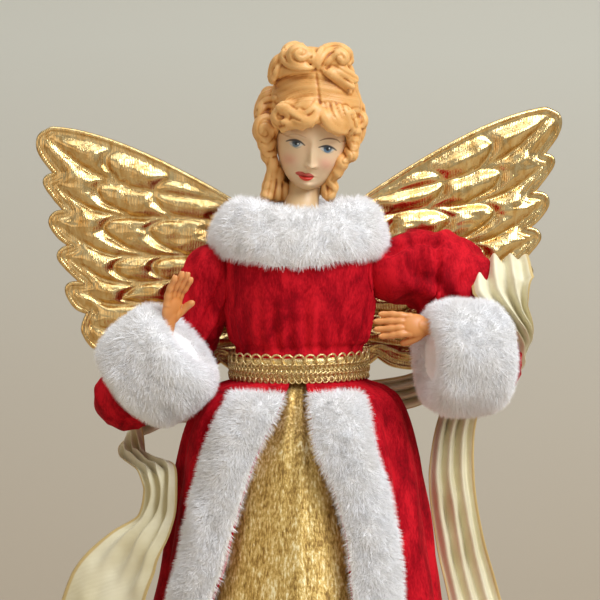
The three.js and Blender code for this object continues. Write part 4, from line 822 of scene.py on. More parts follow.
for side, arm in arms.items():
    look = sleeveLooks[side]
    shoulder, elbow, wrist = (np.array(arm[k], float) for k in ("shoulder", "elbow", "wrist"))
    reach = elbow - shoulder
    forearm = unit(wrist - elbow)
    start = shoulder - unit(reach * np.array(arm["bends"][0])) * (shoulderBall - 0.1)
    tuck = np.array((look["tuck"], 0, 0))
    path = [start, shoulder] + [shoulder + reach * np.array(b) for b in arm["bends"]]
    path += [elbow + tuck, elbow + tuck + forearm * 7.5, elbow + forearm * 13.2]
    line = evenly(lineThrough(path, 16), sleeve["along"])
    s = np.linspace(0, 1, sleeve["along"])[:, None]
    total = np.linalg.norm(np.diff(line, axis=0), axis=1).sum()
    elbowAt = int(np.argmin(np.linalg.norm(line - elbow, axis=1)))
    bend = elbowAt / (sleeve["along"] - 1)
    girth = look["girth"] + [[bend - 0.17, 12.2], [bend - 0.03, 12.9], [bend + 0.5 * (1 - bend), 10.8], [1, 4.6]]
    dome = np.sqrt(np.clip(1 - (1 - np.clip((s * total + 0.1) / shoulderBall, 0, 1)) ** 2, 0.006, 1))
    radius = smoothTable(girth, s[:, 0], 1) * dome[:, 0]
    rings = sweptRings(line, radius, radius, sleeve["around"], upward=(0, 1, 0))
    centres = line[:, None, :]
    away = unit(rings - centres)
    loose = np.clip((s * total - 8) / 12, 0, 1) * np.clip((bend - s) * 7, 0, 1)
    rings += away * (radius[:, None] * look["sag"] * loose * np.clip(-away[..., 2], 0, 1))[..., None]
    turn = roundTurn(sleeve["around"])[None, :]
    wrinkle = (0.9 * wander(rings, 8.0, look["seed"]) + 1.1 * crumple(rings, 9.5, look["seed"] + 2)).reshape(rings.shape[:2])
    for angle, width, depth, begins, ends in look["longFolds"]:
        fromFold = np.angle(np.exp(1j * (turn - angle - 0.25 * np.sin(s * 9))))
        length = softStep(s * total, begins - 3, begins + 3) * (1 - softStep(s * total, ends - 4, ends + 4))
        wrinkle += length * valley(fromFold, width, depth, 3.2, 0.45)
    for spot, width, depth in look["crossFolds"]:
        fromFold = s * total - spot - 2.0 * np.sin(turn)
        wrinkle += np.clip(-np.sin(turn) + 0.3, 0, 1) * valley(fromFold, width, depth, 3, 0.5)
    rings += away * (wrinkle * np.clip((s * total - 4) / 8, 0, 1) * np.clip((1 - s) * 9, 0, 1) - 0.35)[..., None]
    piece = clothPiece(side + "VelvetSleeve", rings, sleeve["thick"], redVelvet, wrapColumns=True, outward=away)
    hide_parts(side + "_upper_sleeve", side + "_elbow_sleeve")
    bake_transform(piece)
print("skirts, bodice, plush and sleeves made")


# Ribbon: one sheer wired length, over the coat's back and round each elbow
ribbon = dict(width=38.0, thick=0.3, between=10, across=56, sag=1.4, pleats=3.5, fullness=0.92, deepest=3.0)
ribbonBackShares = [0.15, 0.128, 0.105, 0.085, 0.065]


def ribbonBackGrid(turns, columns, out):
    places = np.linspace(0, 1, columns)
    downs = np.interp(places, np.linspace(0, 1, len(ribbonBackShares)), ribbonBackShares)
    return coatGrid(np.asarray(turns)[:, None] + np.pi, downs[None, :], out)


# How deep pleats are, so that the cloth across them is as wide as the ribbon was cut
def pleatDepth(halfWidth):
    ratio = np.maximum(ribbon["fullness"] * ribbon["width"] / 2 / np.maximum(halfWidth, 1.0), 1.0)
    slope = np.sqrt(2 * (ratio ** 2 - 1))
    return np.minimum(slope * halfWidth / (np.pi * ribbon["pleats"]), ribbon["deepest"])


def lengthOf(line):
    return round(float(np.linalg.norm(np.diff(line, axis=0), axis=1).sum()), 1)


def finishRibbon(piece, rows, columns, length, restsOn):
    place = np.abs(np.linspace(-1, 1, columns))
    edge = np.clip((place - 0.9) / 0.02, 0, 1)
    paintPoints(piece, "edge", np.tile(np.tile(edge, rows), 2))


backGrid = ribbonBackGrid(np.radians(np.linspace(-40.3, 40.3, 120)), ribbon["across"], 2.7)
backHalf = np.linalg.norm(backGrid[:, 0] - backGrid[:, -1], axis=-1) / 2
pleats = (pleatDepth(backHalf)[:, None] * np.sin(np.linspace(-1, 1, ribbon["across"]) * np.pi * ribbon["pleats"]))[..., None]
pleats *= np.clip(6 - 6 * np.abs(np.linspace(-1, 1, len(backGrid))), 0, 1)[:, None, None]
backGrid += gridNormals(backGrid, False) * pleats * np.sign((gridNormals(backGrid, False) * backGrid * (1, 1, 0)).sum())
ribbonBack = clothPiece("ribbonBack", backGrid, ribbon["thick"], sheerRibbon, outward=backGrid * (1, 1, 0))
finishRibbon(ribbonBack, *backGrid.shape[:2], 63.0, "redCoatSkirt")
print("ribbon back length", lengthOf(backGrid.mean(axis=1)))
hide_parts("ribbon_back")
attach(ribbonBack, "figure")

# Each row of an end: its middle, as shares out and back of the elbow's reach and of its height, then half its width
# across, back and up, as shares of the ribbon's width
ribbonEnds = {
    "left": dict(side=-1, reach=65.0, height=165.0, length=276.0, rows=[
        [0.5, 0.53, 0.96, 0, 0, 0.2], [0.68, 0.46, 0.97, 0, 0, 0.18], [0.86, 0.43, 0.95, 0, 0, 0.16],
        [0.98, 0.35, 0.91, -0.08, 0, 0.12], [0.98, 0.18, 0.87, -0.13, 0, 0.03], [0.91, 0, 0.86, -0.13, -0.04, 0.02],
        [0.83, -0.15, 0.85, -0.13, -0.1, 0], [0.79, -0.26, 0.82, -0.15, -0.14, 0], [0.82, -0.33, 0.74, -0.18, -0.2, 0],
        [0.95, -0.36, 0.67, -0.3, -0.24, -0.02], [1.09, -0.36, 0.58, -0.4, -0.28, -0.04],
        [1.19, -0.36, 0.45, -0.4, -0.28, -0.03], [1.27, -0.36, 0.28, -0.4, -0.28, 0], [1.34, -0.36, 0.06, -0.4, -0.28, 0]]),
    "right": dict(side=1, reach=77.0, height=178.0, length=390.0, rows=[
        [0.42, 0.45, 0.89, 0, 0, 0.17], [0.56, 0.37, 0.93, 0, 0, 0.17], [0.74, 0.31, 1.03, -0.05, 0, 0.15],
        [0.95, 0.24, 1.2, -0.21, -0.05, 0.08], [0.98, 0.06, 1.225, -0.28, 0, -0.02], [0.99, -0.09, 1.17, -0.3, 0, -0.09],
        [1.05, -0.07, 1.115, -0.13, -0.03, -0.04], [1.11, 0.04, 1.06, -0.06, -0.08, 0], [1.1, 0.24, 1.0, 0.02, -0.1, 0],
        [0.97, 0.33, 0.94, 0.11, -0.06, 0],
        [0.81, 0.29, 0.89, 0.18, 0.02, 0], [0.76, 0.2, 0.76, 0.23, 0.05, 0], [0.8, 0.2, 0.62, 0.24, 0.06, 0],
        [0.88, 0.2, 0.48, 0.26, 0.07, 0], [0.98, 0.19, 0.28, 0.28, 0.07, 0], [1.07, 0.18, 0.06, 0.3, 0.06, 0]]),
}
for side, end in ribbonEnds.items():
    table = np.array(end["rows"])
    middles = table[:, :3] * (end["side"] * end["reach"], end["reach"], end["height"])
    halves = table[:, 3:] * (end["side"], 1, 1) * ribbon["width"]
    first = backGrid[-1 if side == "right" else 0]
    middles[0] = first.mean(axis=0)
    halves[0] = (first[0] - first[-1]) / 2 * (1 if (first[0] - first[-1])[2] > 0 else -1)
    lengths = np.linalg.norm(halves, axis=1)
    line = lineThrough(middles, ribbon["between"])
    half = lineThrough(halves, ribbon["between"])
    size = np.interp(np.linspace(0, len(lengths) - 1, len(line)), np.arange(len(lengths)), lengths)
    along = unit(np.gradient(line, axis=0))
    square = unit(half - along * (half * along).sum(axis=1, keepdims=True)) * size[:, None]
    half = between(half, square, softStep(np.linspace(0, len(lengths) - 1, len(line)), 0, 1.2)[:, None])
    facing = np.cross(along, unit(half)) * -end["side"]
    share = np.linspace(-1, 1, ribbon["across"])
    place = np.linspace(0, len(lengths) - 1, len(line))[:, None]
    folds = pleatDepth(size)[:, None] * np.sin(ribbon["pleats"] * np.pi * share[None, :] + 0.5 * np.sin(0.9 * place))
    waves = ribbon["sag"] * np.sin(np.pi * place) * (1 - np.abs(share))[None, :]
    fade = np.clip(place / 0.8, 0, 1) * np.clip(1.2 - np.abs(share), 0, 0.7)[None, :] / 0.7
    grid = line[:, None] + half[:, None] * share[None, :, None] + facing[:, None] * ((folds + waves) * fade)[..., None]
    grid += facing[:, None] * (1.1 * wander(grid, 9.0, 12).reshape(grid.shape[:2]) * fade)[..., None]
    piece = clothPiece(side + "RibbonEnd", grid, ribbon["thick"], sheerRibbon, facing[:, None])
    finishRibbon(piece, *grid.shape[:2], end["length"], side + "VelvetSleeve")
    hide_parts("ribbon_" + side + "_end")
    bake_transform(piece)
    print(piece.name, len(piece.data.polygons), "faces, length", lengthOf(line))

# Belt: gimp braid, with overlapping cord loops along its top and scrolled rows below them
belt = dict(foot=173.0, tall=11.0, thick=0.8, wide=24.6, deep=19.7, rise=1.1, dip=0.6)
turn, up = np.meshgrid(np.linspace(0, 2 * np.pi, 240, endpoint=False), np.linspace(0, 1, 8), indexing="ij")


def beltPoints(turn, up, out):
    lean = belt["rise"] * np.sin(turn) - belt["dip"] * np.clip(np.cos(turn), 0, None) ** 4
    return np.stack([(belt["wide"] + out) * np.sin(turn), -(belt["deep"] + out) * np.cos(turn),
                     belt["foot"] + up + lean * 0.4], axis=-1)


bandGrid = beltPoints(turn, 0.4 + (belt["tall"] - 2.2) * up, 0.9).transpose(1, 0, 2)
beltPiece = clothPiece("giltBraidBelt", bandGrid, belt["thick"], gimpBraid, wrapColumns=True, outward=bandGrid * (1, 1, 0))

cordTree, given = newTree("cordLoops", [("Loop count", "NodeSocketInt", 33), ("Loop radius", "NodeSocketFloat", 0.002),
                                        ("Cord radius", "NodeSocketFloat", 0.00035), ("Lean", "NodeSocketFloat", 0.2),
                                        ("Sides", "NodeSocketInt", 12), ("Finish", "NodeSocketMaterial", None)])
way = addNode(cordTree, "GeometryNodeMeshToCurve", inputs={0: given["Geometry"]})
spaced = addNode(cordTree, "GeometryNodeResampleCurve", inputs={"Curve": way.outputs[0], "Count": given["Loop count"]})
points = addNode(cordTree, "GeometryNodeCurveToPoints", {"mode": "EVALUATED"}, {"Curve": spaced.outputs[0]})
ring = addNode(cordTree, "GeometryNodeCurvePrimitiveCircle", {"mode": "RADIUS"}, {
    "Resolution": given["Sides"], "Radius": given["Loop radius"]})
core = addNode(cordTree, "GeometryNodeCurvePrimitiveCircle", {"mode": "RADIUS"}, {
    "Resolution": 4, "Radius": given["Cord radius"]})
loop = addNode(cordTree, "GeometryNodeCurveToMesh", inputs={"Curve": ring.outputs[0], "Profile Curve": core.outputs[0]})
where = addNode(cordTree, "GeometryNodeInputPosition").outputs[0]
flat = addNode(cordTree, "ShaderNodeVectorMath", {"operation": "MULTIPLY"}, {0: where, 1: (1.0, 1.0, 0.0)})
facing = addNode(cordTree, "FunctionNodeAlignRotationToVector", {"axis": "Z"}, {"Vector": flat.outputs[0]})
tipVector = addNode(cordTree, "ShaderNodeCombineXYZ", inputs={"X": given["Lean"], "Y": given["Lean"]})
tipped = addNode(cordTree, "FunctionNodeRotateRotation", {"rotation_space": "LOCAL"}, {0: facing.outputs[0], 1: tipVector.outputs[0]})
planted = addNode(cordTree, "GeometryNodeInstanceOnPoints", inputs={
    "Points": points.outputs["Points"], "Instance": loop.outputs[0], "Rotation": tipped.outputs[0]})
addNode(cordTree, "NodeGroupOutput", inputs={0: realized(cordTree, planted, given["Finish"])})

# each row: height, stand-off, number of loops, loop radius, cord radius, lean, sides of a loop
beltRows = [(8.6, 1.45, 36, 2.05, 0.42, 0.16, 12), (6.2, 1.35, 84, 0.95, 0.3, 0.5, 8), (4.5, 1.4, 84, 0.95, 0.3, -0.5, 8),
            (2.9, 1.35, 84, 0.95, 0.3, 0.5, 8), (1.2, 1.3, 60, 1.15, 0.32, -0.25, 8)]
rowMeshes = []
for up, out, count, radius, cord, lean, sides in beltRows:
    ring = beltPoints(np.linspace(0, 2 * np.pi, 181)[:-1], up, out) * mm
    mesh = bpy.data.meshes.new("beltRow")
    mesh.from_pydata(ring.tolist(), [(i, (i + 1) % 180) for i in range(180)], [])
    holder = bpy.data.objects.new("beltRow", mesh)
    bpy.context.scene.collection.objects.link(holder)
    applyTree(holder, cordTree, {"Loop count": count, "Loop radius": radius * mm, "Cord radius": cord * mm,
                                 "Lean": lean, "Sides": sides, "Finish": gimpBraid})
    rowMeshes.append(holder)


def joinInto(piece, others):
    every = [piece] + others
    with bpy.context.temp_override(active_object=piece, object=piece, selected_editable_objects=every, selected_objects=every):
        bpy.ops.object.join()


joinInto(beltPiece, rowMeshes)
standFor(beltPiece, "figure", "belt_braid")
print("belt", len(beltPiece.data.polygons), "faces")

# Wings: padded gold lame, quilted into feathers, with a corded edge
wing = dict(span=102.0, foot=171.0, tall=97.0, rootOut=10.0, back=27.0, sweep=7.0, plate=2.0, puff=5.8, piping=1.1,
            perLobe=22, columns=112, backShare=0.7, lifts={"left": 0.0, "right": 9.0})
wingSeams = np.array([
    [0.603, 0.667, 0.981, 0.951, 0.992], [0.56, 0.608, 0.62, 0.934, 0.812], [0.515, 0.65, 0.495, 0.894, 0.661],
    [0.43, 0.66, 0.39, 0.87, 0.522], [0.36, 0.63, 0.265, 0.825, 0.371], [0.3, 0.6, 0.165, 0.809, 0.256],
    [0.25, 0.5, 0.125, 0.725, 0.1], [0.2, 0.35, 0.15, 0.55, 0.055], [0.155, 0.2, 0.11, 0.3, 0.07], [0.135, 0.12, 0.1, 0.165, 0.055]])
wingLobes = [
    [[0.995, 0.964], [1.002, 0.923], [0.983, 0.877]], [[0.969, 0.797], [0.976, 0.773], [0.946, 0.725]],
    [[0.942, 0.649], [0.955, 0.611], [0.919, 0.557]], [[0.912, 0.506], [0.923, 0.475], [0.881, 0.422]],
    [[0.881, 0.367], [0.892, 0.336], [0.858, 0.278]], [[0.83, 0.2], [0.824, 0.165], [0.789, 0.118]],
    [[0.725, 0.04], [0.686, 0.015], [0.608, 0.015]], [[0.51, 0.015], [0.431, 0.008], [0.353, 0.03]],
    [[0.265, 0.045], [0.23, 0.03], [0.195, 0.035]]]
# Sewn lines on the flat wing: five long seams, then the rounded feather ends between them
quiltLines = [
    [(97.8, 263.4), (92.2, 258.4), (86, 253.5), (79.8, 249.8), (71.7, 247.3), (67.4, 244.8), (55, 242.6), (40, 240.5),
     (25, 238), (10, 234)],
    [(95.3, 245.4), (89.1, 240.5), (81, 236.1), (73.6, 234.3), (64.9, 233), (55, 233), (45.1, 233), (30, 231), (10, 226)],
    [(95.3, 230.5), (89.1, 225.6), (79.8, 220.6), (72.4, 218.1), (61.2, 218.1), (48.8, 218.1), (37.6, 218.1), (24, 218), (10, 217)],
    [(92.2, 217.5), (84.1, 213.2), (76.7, 208.8), (67.4, 207), (61.2, 207.6), (53, 208.5), (40, 209), (24, 209), (10, 208)],
    [(89.1, 205.1), (83.5, 203.3), (76.7, 199.5), (71.1, 198.9), (58, 199.5), (40, 201), (24, 202), (10, 202)],
    [(84, 192), (76, 189), (66, 188), (50, 191), (30, 194.5), (10, 196)],
    [(79, 180), (68, 180), (55, 183), (36, 188), (10, 191)],
    [(56, 177), (42, 180), (26, 184), (10, 187)],
    [(73, 258.4), (75.5, 256), (74.8, 252.2), (71.7, 247.9), (67.4, 244.8)],
    [(46.3, 247.3), (53.1, 246.7), (56.2, 242.9), (55, 238), (50, 234.3), (43.8, 233)],
    [(29.3, 235.5), (34.5, 233), (36.1, 229.9), (33.9, 226.2), (28, 222), (20, 218.5)],
    [(67.4, 246), (76.7, 246), (78.9, 242.9), (76.1, 238.6), (69.9, 235.5), (64.9, 233)],
    [(57.5, 232.4), (69.9, 233), (74.8, 231.2), (76.4, 228.1), (72.4, 224.3), (64.3, 220), (56.2, 218.1)],
    [(45.1, 232.4), (53.1, 231.8), (58.1, 229.3), (57.5, 225.6), (51.9, 221.2), (45.1, 218.8)],
    [(56.2, 218.1), (66.2, 217.5), (70.8, 215.7), (72.4, 213.2), (69.9, 210.1), (64.3, 208.2), (61.2, 207.6)],
    [(45.7, 218.1), (51.9, 217.5), (56.2, 215.7), (57.2, 213.2), (55, 210.1), (51.9, 208.8)],
    [(53.1, 208.2), (61.2, 207), (66.8, 203.9), (68.6, 200.8), (60, 199.4)],
    [(40, 209), (47, 208), (51, 205.5), (50, 202.5), (44, 200.8)],
    [(56, 199.6), (62, 197), (63, 193.5), (57, 190)],
    [(38, 201.2), (44, 199), (45.5, 196), (40, 192.8)],
    [(50, 191), (55, 188.5), (54.5, 185.5), (48, 184.4)],
    [(24, 209), (31, 208), (34, 205.5), (31, 202.6), (24, 202)],
]


def nearestLine(points, lines):
    best = np.full(len(points), 1e9)
    for line in lines:
        line = np.asarray(line, float)
        a, b = line[:-1], line[1:]
        ab = b - a
        t = np.clip(((points[:, None] - a) * ab).sum(-1) / (ab * ab).sum(-1), 0, 1)
        gaps = np.linalg.norm(points[:, None] - (a + t[..., None] * ab), axis=-1).min(axis=1)
        best = np.minimum(best, gaps)
    return best


scale = np.array([wing["span"], wing["tall"]])
base = np.array([0, wing["foot"]])
edgePoints, rootPoints, bendPoints = [], [], []
for lobe in range(len(wingLobes)):
    seam, after = wingSeams[lobe], wingSeams[lobe + 1]
    curve = evenly(lineThrough([seam[3:5]] + wingLobes[lobe] + [after[3:5]], 14), wing["perLobe"] + 1)
    if lobe < len(wingLobes) - 1:
        curve = curve[:-1]
    for step, end in enumerate(curve):
        share = step / wing["perLobe"]
        edgePoints.append(end * scale + base)
        rootPoints.append((wing["rootOut"], wing["foot"] + wing["tall"] * between(seam[0], after[0], share)))
        bendPoints.append((wing["span"] * between(seam[1], after[1], share),
                           wing["foot"] + wing["tall"] * between(seam[2], after[2], share)))
edgePoints, rootPoints, bendPoints = map(np.array, (edgePoints, rootPoints, bendPoints))
topLine = [rootPoints[0] * (1 - t) ** 2 + 2 * bendPoints[0] * t * (1 - t) + edgePoints[0] * t * t
           for t in np.linspace(0, 1, 60)]
outline = np.concatenate([topLine[:-1], edgePoints])
outlineLoop = np.concatenate([outline, [rootPoints[-1]]])
closedOutline = np.concatenate([outlineLoop, outlineLoop[:1]])
smoothQuilt = [lineThrough(line, 5) for line in quiltLines]

columns = 1 - (1 - np.linspace(0, 1, wing["columns"])) ** 1.45
normalsOut = np.gradient(edgePoints, axis=0)
normalsOut = unit(np.stack([-normalsOut[:, 1], normalsOut[:, 0]], axis=1))
ends = edgePoints - normalsOut * 0.6
starts = rootPoints + (0.6, 0)
t = columns[None, :, None]
flatWing = starts[:, None] * (1 - t) ** 2 + 2 * bendPoints[:, None] * t * (1 - t) + ends[:, None] * t * t
flatShape = flatWing.shape[:2]
flatPoints = flatWing.reshape(-1, 2)
fromSeam = nearestLine(flatPoints, smoothQuilt)
fromEdge = nearestLine(flatPoints, [closedOutline])
near = np.minimum(fromSeam, fromEdge * 0.8)
puff = (1 - np.exp(-(near / 2.1) ** 1.25)) * softStep(fromEdge, 0.2, 7.5)
level = np.column_stack([flatPoints, np.zeros(len(flatPoints))])
crinkle = wander(level * (0.55, 1.5, 1), 3.2, 1)
ruck = wander(level * (1.5, 0.5, 1), 2.6, 2)
stitches = np.exp(-((fromEdge - 2.2) / 0.4) ** 2) + np.exp(-((fromEdge - 3.5) / 0.4) ** 2)
relief = 0.5 * wing["puff"] * puff * (1 + 0.12 * crinkle) + 0.22 * crinkle
relief = relief + 0.16 * ruck * np.exp(-(near / 2.5) ** 2) - 0.28 * stitches
halfThick = np.clip(0.5 * wing["plate"] + relief, 0.35, None).reshape(flatShape)


def wingPlace(side, lift, x, z, depth):
    reach = x - wing["rootOut"]
    sweep = math.radians(wing["sweep"])
    out = wing["rootOut"] + reach * math.cos(sweep) - depth * math.sin(sweep)
    return np.stack(np.broadcast_arrays(side * out, wing["back"] + reach * math.sin(sweep) + depth * math.cos(sweep),
                                        z + lift * reach / wing["span"]), axis=-1)


for side, sign in (("left", -1), ("right", 1)):
    lift = wing["lifts"][side]
    front = wingPlace(sign, lift, flatWing[..., 0], flatWing[..., 1], -halfThick)
    back = wingPlace(sign, lift, flatWing[..., 0], flatWing[..., 1], between(0.5 * wing["plate"], halfThick, wing["backShare"]))
    rows, count = flatShape
    total = rows * count
    points = np.concatenate([front.reshape(-1, 3), back.reshape(-1, 3)])
    faces = gridFaces(rows, count)
    faces += [[f[3] + total, f[2] + total, f[1] + total, f[0] + total] for f in gridFaces(rows, count)]
    rim = [r * count for r in range(rows)] + [(rows - 1) * count + c for c in range(1, count)]
    rim += [r * count + count - 1 for r in range(rows - 2, -1, -1)] + list(range(count - 2, 0, -1))
    faces += [[rim[(i + 1) % len(rim)], rim[i], rim[i] + total, rim[(i + 1) % len(rim)] + total] for i in range(len(rim))]
    piece = newPiece(side + "QuiltedWing", points, turnedOut(points, faces), goldLame)
    standFor(piece, side + "_wing", side + "_wing_panel")
    cordWay = evenly(closedOutline, 620)[:-1]
    spot = wingPlace(sign, lift, cordWay[:, 0], cordWay[:, 1], 0.0)
    along = unit(np.roll(spot, -1, axis=0) - np.roll(spot, 1, axis=0))
    through = unit(wingPlace(sign, lift, cordWay[:, 0], cordWay[:, 1], 1.0) - spot)
    aside = unit(np.cross(along, through))
    around = np.linspace(0, 2 * np.pi, 12, endpoint=False)
    swell = wing["piping"] * (1 + 0.07 * wander(spot, 1.6, 5))[:, None, None]
    rings = spot[:, None] + swell * (aside[:, None] * np.cos(around)[None, :, None] + through[:, None] * np.sin(around)[None, :, None])
    faces = gridFaces(len(cordWay), 12, wrapRows=True, wrapColumns=True)
    points = rings.reshape(-1, 3)
    cord = newPiece(side + "WingPiping", points, turnedOut(points, faces), goldLame)
    standFor(cord, side + "_wing", side + "_wing_piping")
print("ribbon, belt and wings made")


# Head: an egg with a sculpted face on a neck, in the frame that starts at the chin
head = dict(wide=13.0, deep=15.5, tall=17.5, back=15.0, chin=(3.0, -10.0, 244.5), tilt=7.5, nod=13.0, neck=7.6,
            foot=234.7, plug=6.2, plugFoot=222.7, sides=240, jaw=20.0, cheek=0.5, setBack=2.4, napeIn=0.2)
headTurn = np.array(Matrix.Rotation(math.radians(head["tilt"]), 3, "Y") @ Matrix.Rotation(math.radians(head["nod"]), 3, "X"))


def inHead(x, y, z):
    return headTurn @ np.array((x, y, z), float) + np.array(head["chin"])


skull = inHead(0, head["back"], head["tall"])
jawWidths = [[-20, 1.4], [-19.6, 3.6], [-18.7, 5.7], [-17, 7.7], [-14.7, 9.5], [-12.3, 10.8], [-8.8, 12.2], [-4, 13.3], [0, 13.5]]
jawDepths = [[-20, 6.6], [-19.5, 8.8], [-18.4, 10.4], [-15.9, 12], [-12.3, 13.2], [-8.8, 14.2], [-4, 15.1], [0, 15.5]]

# Paint and relief are laid out on a front view of the head, in small units of the layout's own grid
layoutGrid = dict(step=0.04545, left=-22.1, top=303.75, far=900.0, eye=(0.4, 250.0))


def onLayout(points):
    shrink = layoutGrid["far"] / (layoutGrid["far"] + points[..., 1])
    x = layoutGrid["eye"][0] + (points[..., 0] - layoutGrid["eye"][0]) * shrink
    z = layoutGrid["eye"][1] + (points[..., 2] - layoutGrid["eye"][1]) * shrink
    return np.stack([(x - layoutGrid["left"]) / layoutGrid["step"], (layoutGrid["top"] - z) / layoutGrid["step"]], axis=-1)


def fromLayout(u, v, y):
    shrink = (layoutGrid["far"] + y) / layoutGrid["far"]
    x = layoutGrid["left"] + u * layoutGrid["step"]
    z = layoutGrid["top"] - v * layoutGrid["step"]
    eyeX, eyeZ = layoutGrid["eye"]
    return np.array([eyeX + (x - eyeX) * shrink, y, eyeZ + (z - eyeZ) * shrink])


def faceSpot(u, v):
    y = -13.5
    for _ in range(4):
        local = headTurn.T @ (fromLayout(u, v, y) - skull)
        wide = smoothTable(jawWidths, min(local[2], 0), 1)
        deep = smoothTable(jawDepths, min(local[2], 0), 1)
        depth = -deep * math.sqrt(max(0.05, 1 - (local[0] / wide) ** 2))
        y = (headTurn @ np.array((local[0], depth, local[2])) + skull)[1]
    return local[0], local[2]


sides = np.linspace(0, 1, head["sides"], endpoint=False)
around = 2 * np.pi * sides - 0.72 * np.sin(2 * np.pi * sides)
tilts = np.radians(np.concatenate([np.linspace(1.5, 74, 36), np.linspace(74.6, 158, 190), np.linspace(159, 178.5, 16)]))
tilt, turn = np.meshgrid(tilts, around, indexing="ij")
lz = np.where(np.cos(tilt) > 0, head["tall"], head["jaw"]) * np.cos(tilt)
low = np.minimum(lz, 0)
wide = np.where(lz < 0, smoothTable(jawWidths, low, 1), head["wide"] * np.sin(tilt))
deep = np.where(lz < 0, smoothTable(jawDepths, low, 1), head["deep"] * np.sin(tilt))
deep = np.where(np.cos(turn) > 0, deep, head["deep"] * np.sin(tilt) * (0.96 - head["napeIn"] * softStep(-lz, -3, 8)))
lx = wide * np.sin(turn) - head["cheek"] * softStep(-lz, -4, 4)
ly = -deep * np.cos(turn)
forward = softStep(np.cos(turn), 0.1, 0.5)


def bump(spot, sizeX, sizeZ, lean=0.0):
    x, z = lx - spot[0], lz - spot[1]
    c, s = math.cos(lean), math.sin(lean)
    return np.exp(-((x * c + z * s) / sizeX) ** 2 - ((z * c - x * s) / sizeZ) ** 2)


leftEye, rightEye = faceSpot(462, 940), faceSpot(722, 984)
noseTop, noseTip = faceSpot(598, 930), faceSpot(588, 1122)
mouth, jaw = faceSpot(537, 1204), faceSpot(560, 1285)
slope = math.atan2(rightEye[1] - leftEye[1], rightEye[0] - leftEye[0])
relief = np.zeros_like(lx)
for eye in (leftEye, rightEye):
    relief -= 1.5 * bump((eye[0], eye[1] + 0.7), 3.4, 2.5, slope)
    relief += 1.15 * bump(eye, 2.3, 1.6, slope)
    relief += 0.5 * bump((eye[0], eye[1] + 3.6), 3.6, 1.1, slope)
along = np.clip((noseTop[1] - lz) / (noseTop[1] - noseTip[1]), -0.4, 1.25)
ridgeX = between(noseTop[0], noseTip[0], along)
ridge = np.exp(-((lx - ridgeX) / between(1.15, 1.5, np.clip(along, 0, 1))) ** 2)
relief += ridge * (0.55 + 2.1 * np.clip(along, 0, 1) ** 1.5) * softStep(along, -0.35, 0.1) * (1 - softStep(along, 1.0, 1.16))
for offset in (-1.45, 1.45):
    relief += 0.85 * bump((noseTip[0] + offset, noseTip[1] + 0.25), 0.85, 0.8)
    relief -= 0.55 * bump((noseTip[0] + offset * 0.62, noseTip[1] - 0.75), 0.42, 0.3)
relief -= 0.3 * bump((between(noseTip[0], mouth[0], 0.5), between(noseTip[1], mouth[1], 0.5)), 0.7, 0.9)
relief += 0.95 * bump((mouth[0], mouth[1] + 0.55), 2.6, 0.62, slope) + 0.95 * bump((mouth[0] + 0.1, mouth[1] - 0.85), 2.0, 0.68, slope)
relief -= 0.55 * bump((mouth[0], mouth[1] - 0.12), 2.6, 0.26, slope)
relief -= 0.5 * bump((mouth[0] + 0.3, mouth[1] - 2.1), 2.4, 0.7, slope)
relief += 1.5 * bump((jaw[0], jaw[1] + 0.4), 3.2, 1.9)
relief += 0.55 * bump(faceSpot(410, 1075), 3.4, 2.6) + 0.55 * bump(faceSpot(715, 1110), 3.0, 2.6)
ly = ly - relief * forward
eggRings = np.stack([lx, ly, lz], axis=-1) @ headTurn.T + skull
eggPoints, eggFaces = ringBody(eggRings)

neckTop = inHead(0, head["back"], 0.6 * head["tall"])
neckRows = [[head["plugFoot"], head["plug"]], [head["foot"] - 0.4, head["plug"]], [head["foot"] - 0.1, head["neck"] + 0.9],
            [head["foot"] + 1.2, head["neck"] + 0.5], [238.5, head["neck"] - 0.7], [243, head["neck"] - 1.3],
            [248, head["neck"] - 1.2], [neckTop[2], head["neck"]]]
turnNeck = roundTurn(64)
neckRings = []
for z, radius in neckRows:
    share = np.clip((z - head["foot"]) / (neckTop[2] - head["foot"]), 0, 1)
    cord = 1 + 0.05 * np.cos(2 * turnNeck) * np.clip(share * 4, 0, 1)
    middleY = neckTop[1] * share + head["setBack"] * min(1, 3 * share)
    neckRings.append(np.stack([neckTop[0] * share + radius * cord * np.sin(turnNeck),
                               middleY - radius * cord * np.cos(turnNeck), np.full(64, z)], axis=-1))
points, faces = joinBodies([(eggPoints, eggFaces), ringBody(neckRings)])
headPiece = newPiece("paintedHead", points, faces, paintedVinyl)

layout = onLayout(points)
isFace = np.zeros(len(points), bool)
isFace[:len(eggPoints)] = np.concatenate([(forward > 0.05).ravel(), [False, False]])
u, v = layout[:, 0], layout[:, 1]


def oval(centre, radii, lean=0.0, soft=0.12):
    c, s = math.cos(lean), math.sin(lean)
    x, y = u - centre[0], v - centre[1]
    far = np.hypot((x * c + y * s) / radii[0], (y * c - x * s) / radii[1])
    return 1 - softStep(far, 1 - soft, 1 + soft)


def stroke(line, halfWidth, soft=4.0):
    smooth = lineThrough(line, 6)
    far = np.full(len(points), 1e6)
    far[isFace] = nearestLine(layout[isFace], [smooth])
    place = np.clip((u - smooth[:, 0].min()) / (np.ptp(smooth[:, 0]) + 1e-6), 0, 1)
    width = halfWidth * (0.35 + 0.65 * np.sin(np.pi * np.clip(place * 0.9 + 0.05, 0, 1)))
    return 1 - softStep(far, width - soft / 2, width + soft / 2)


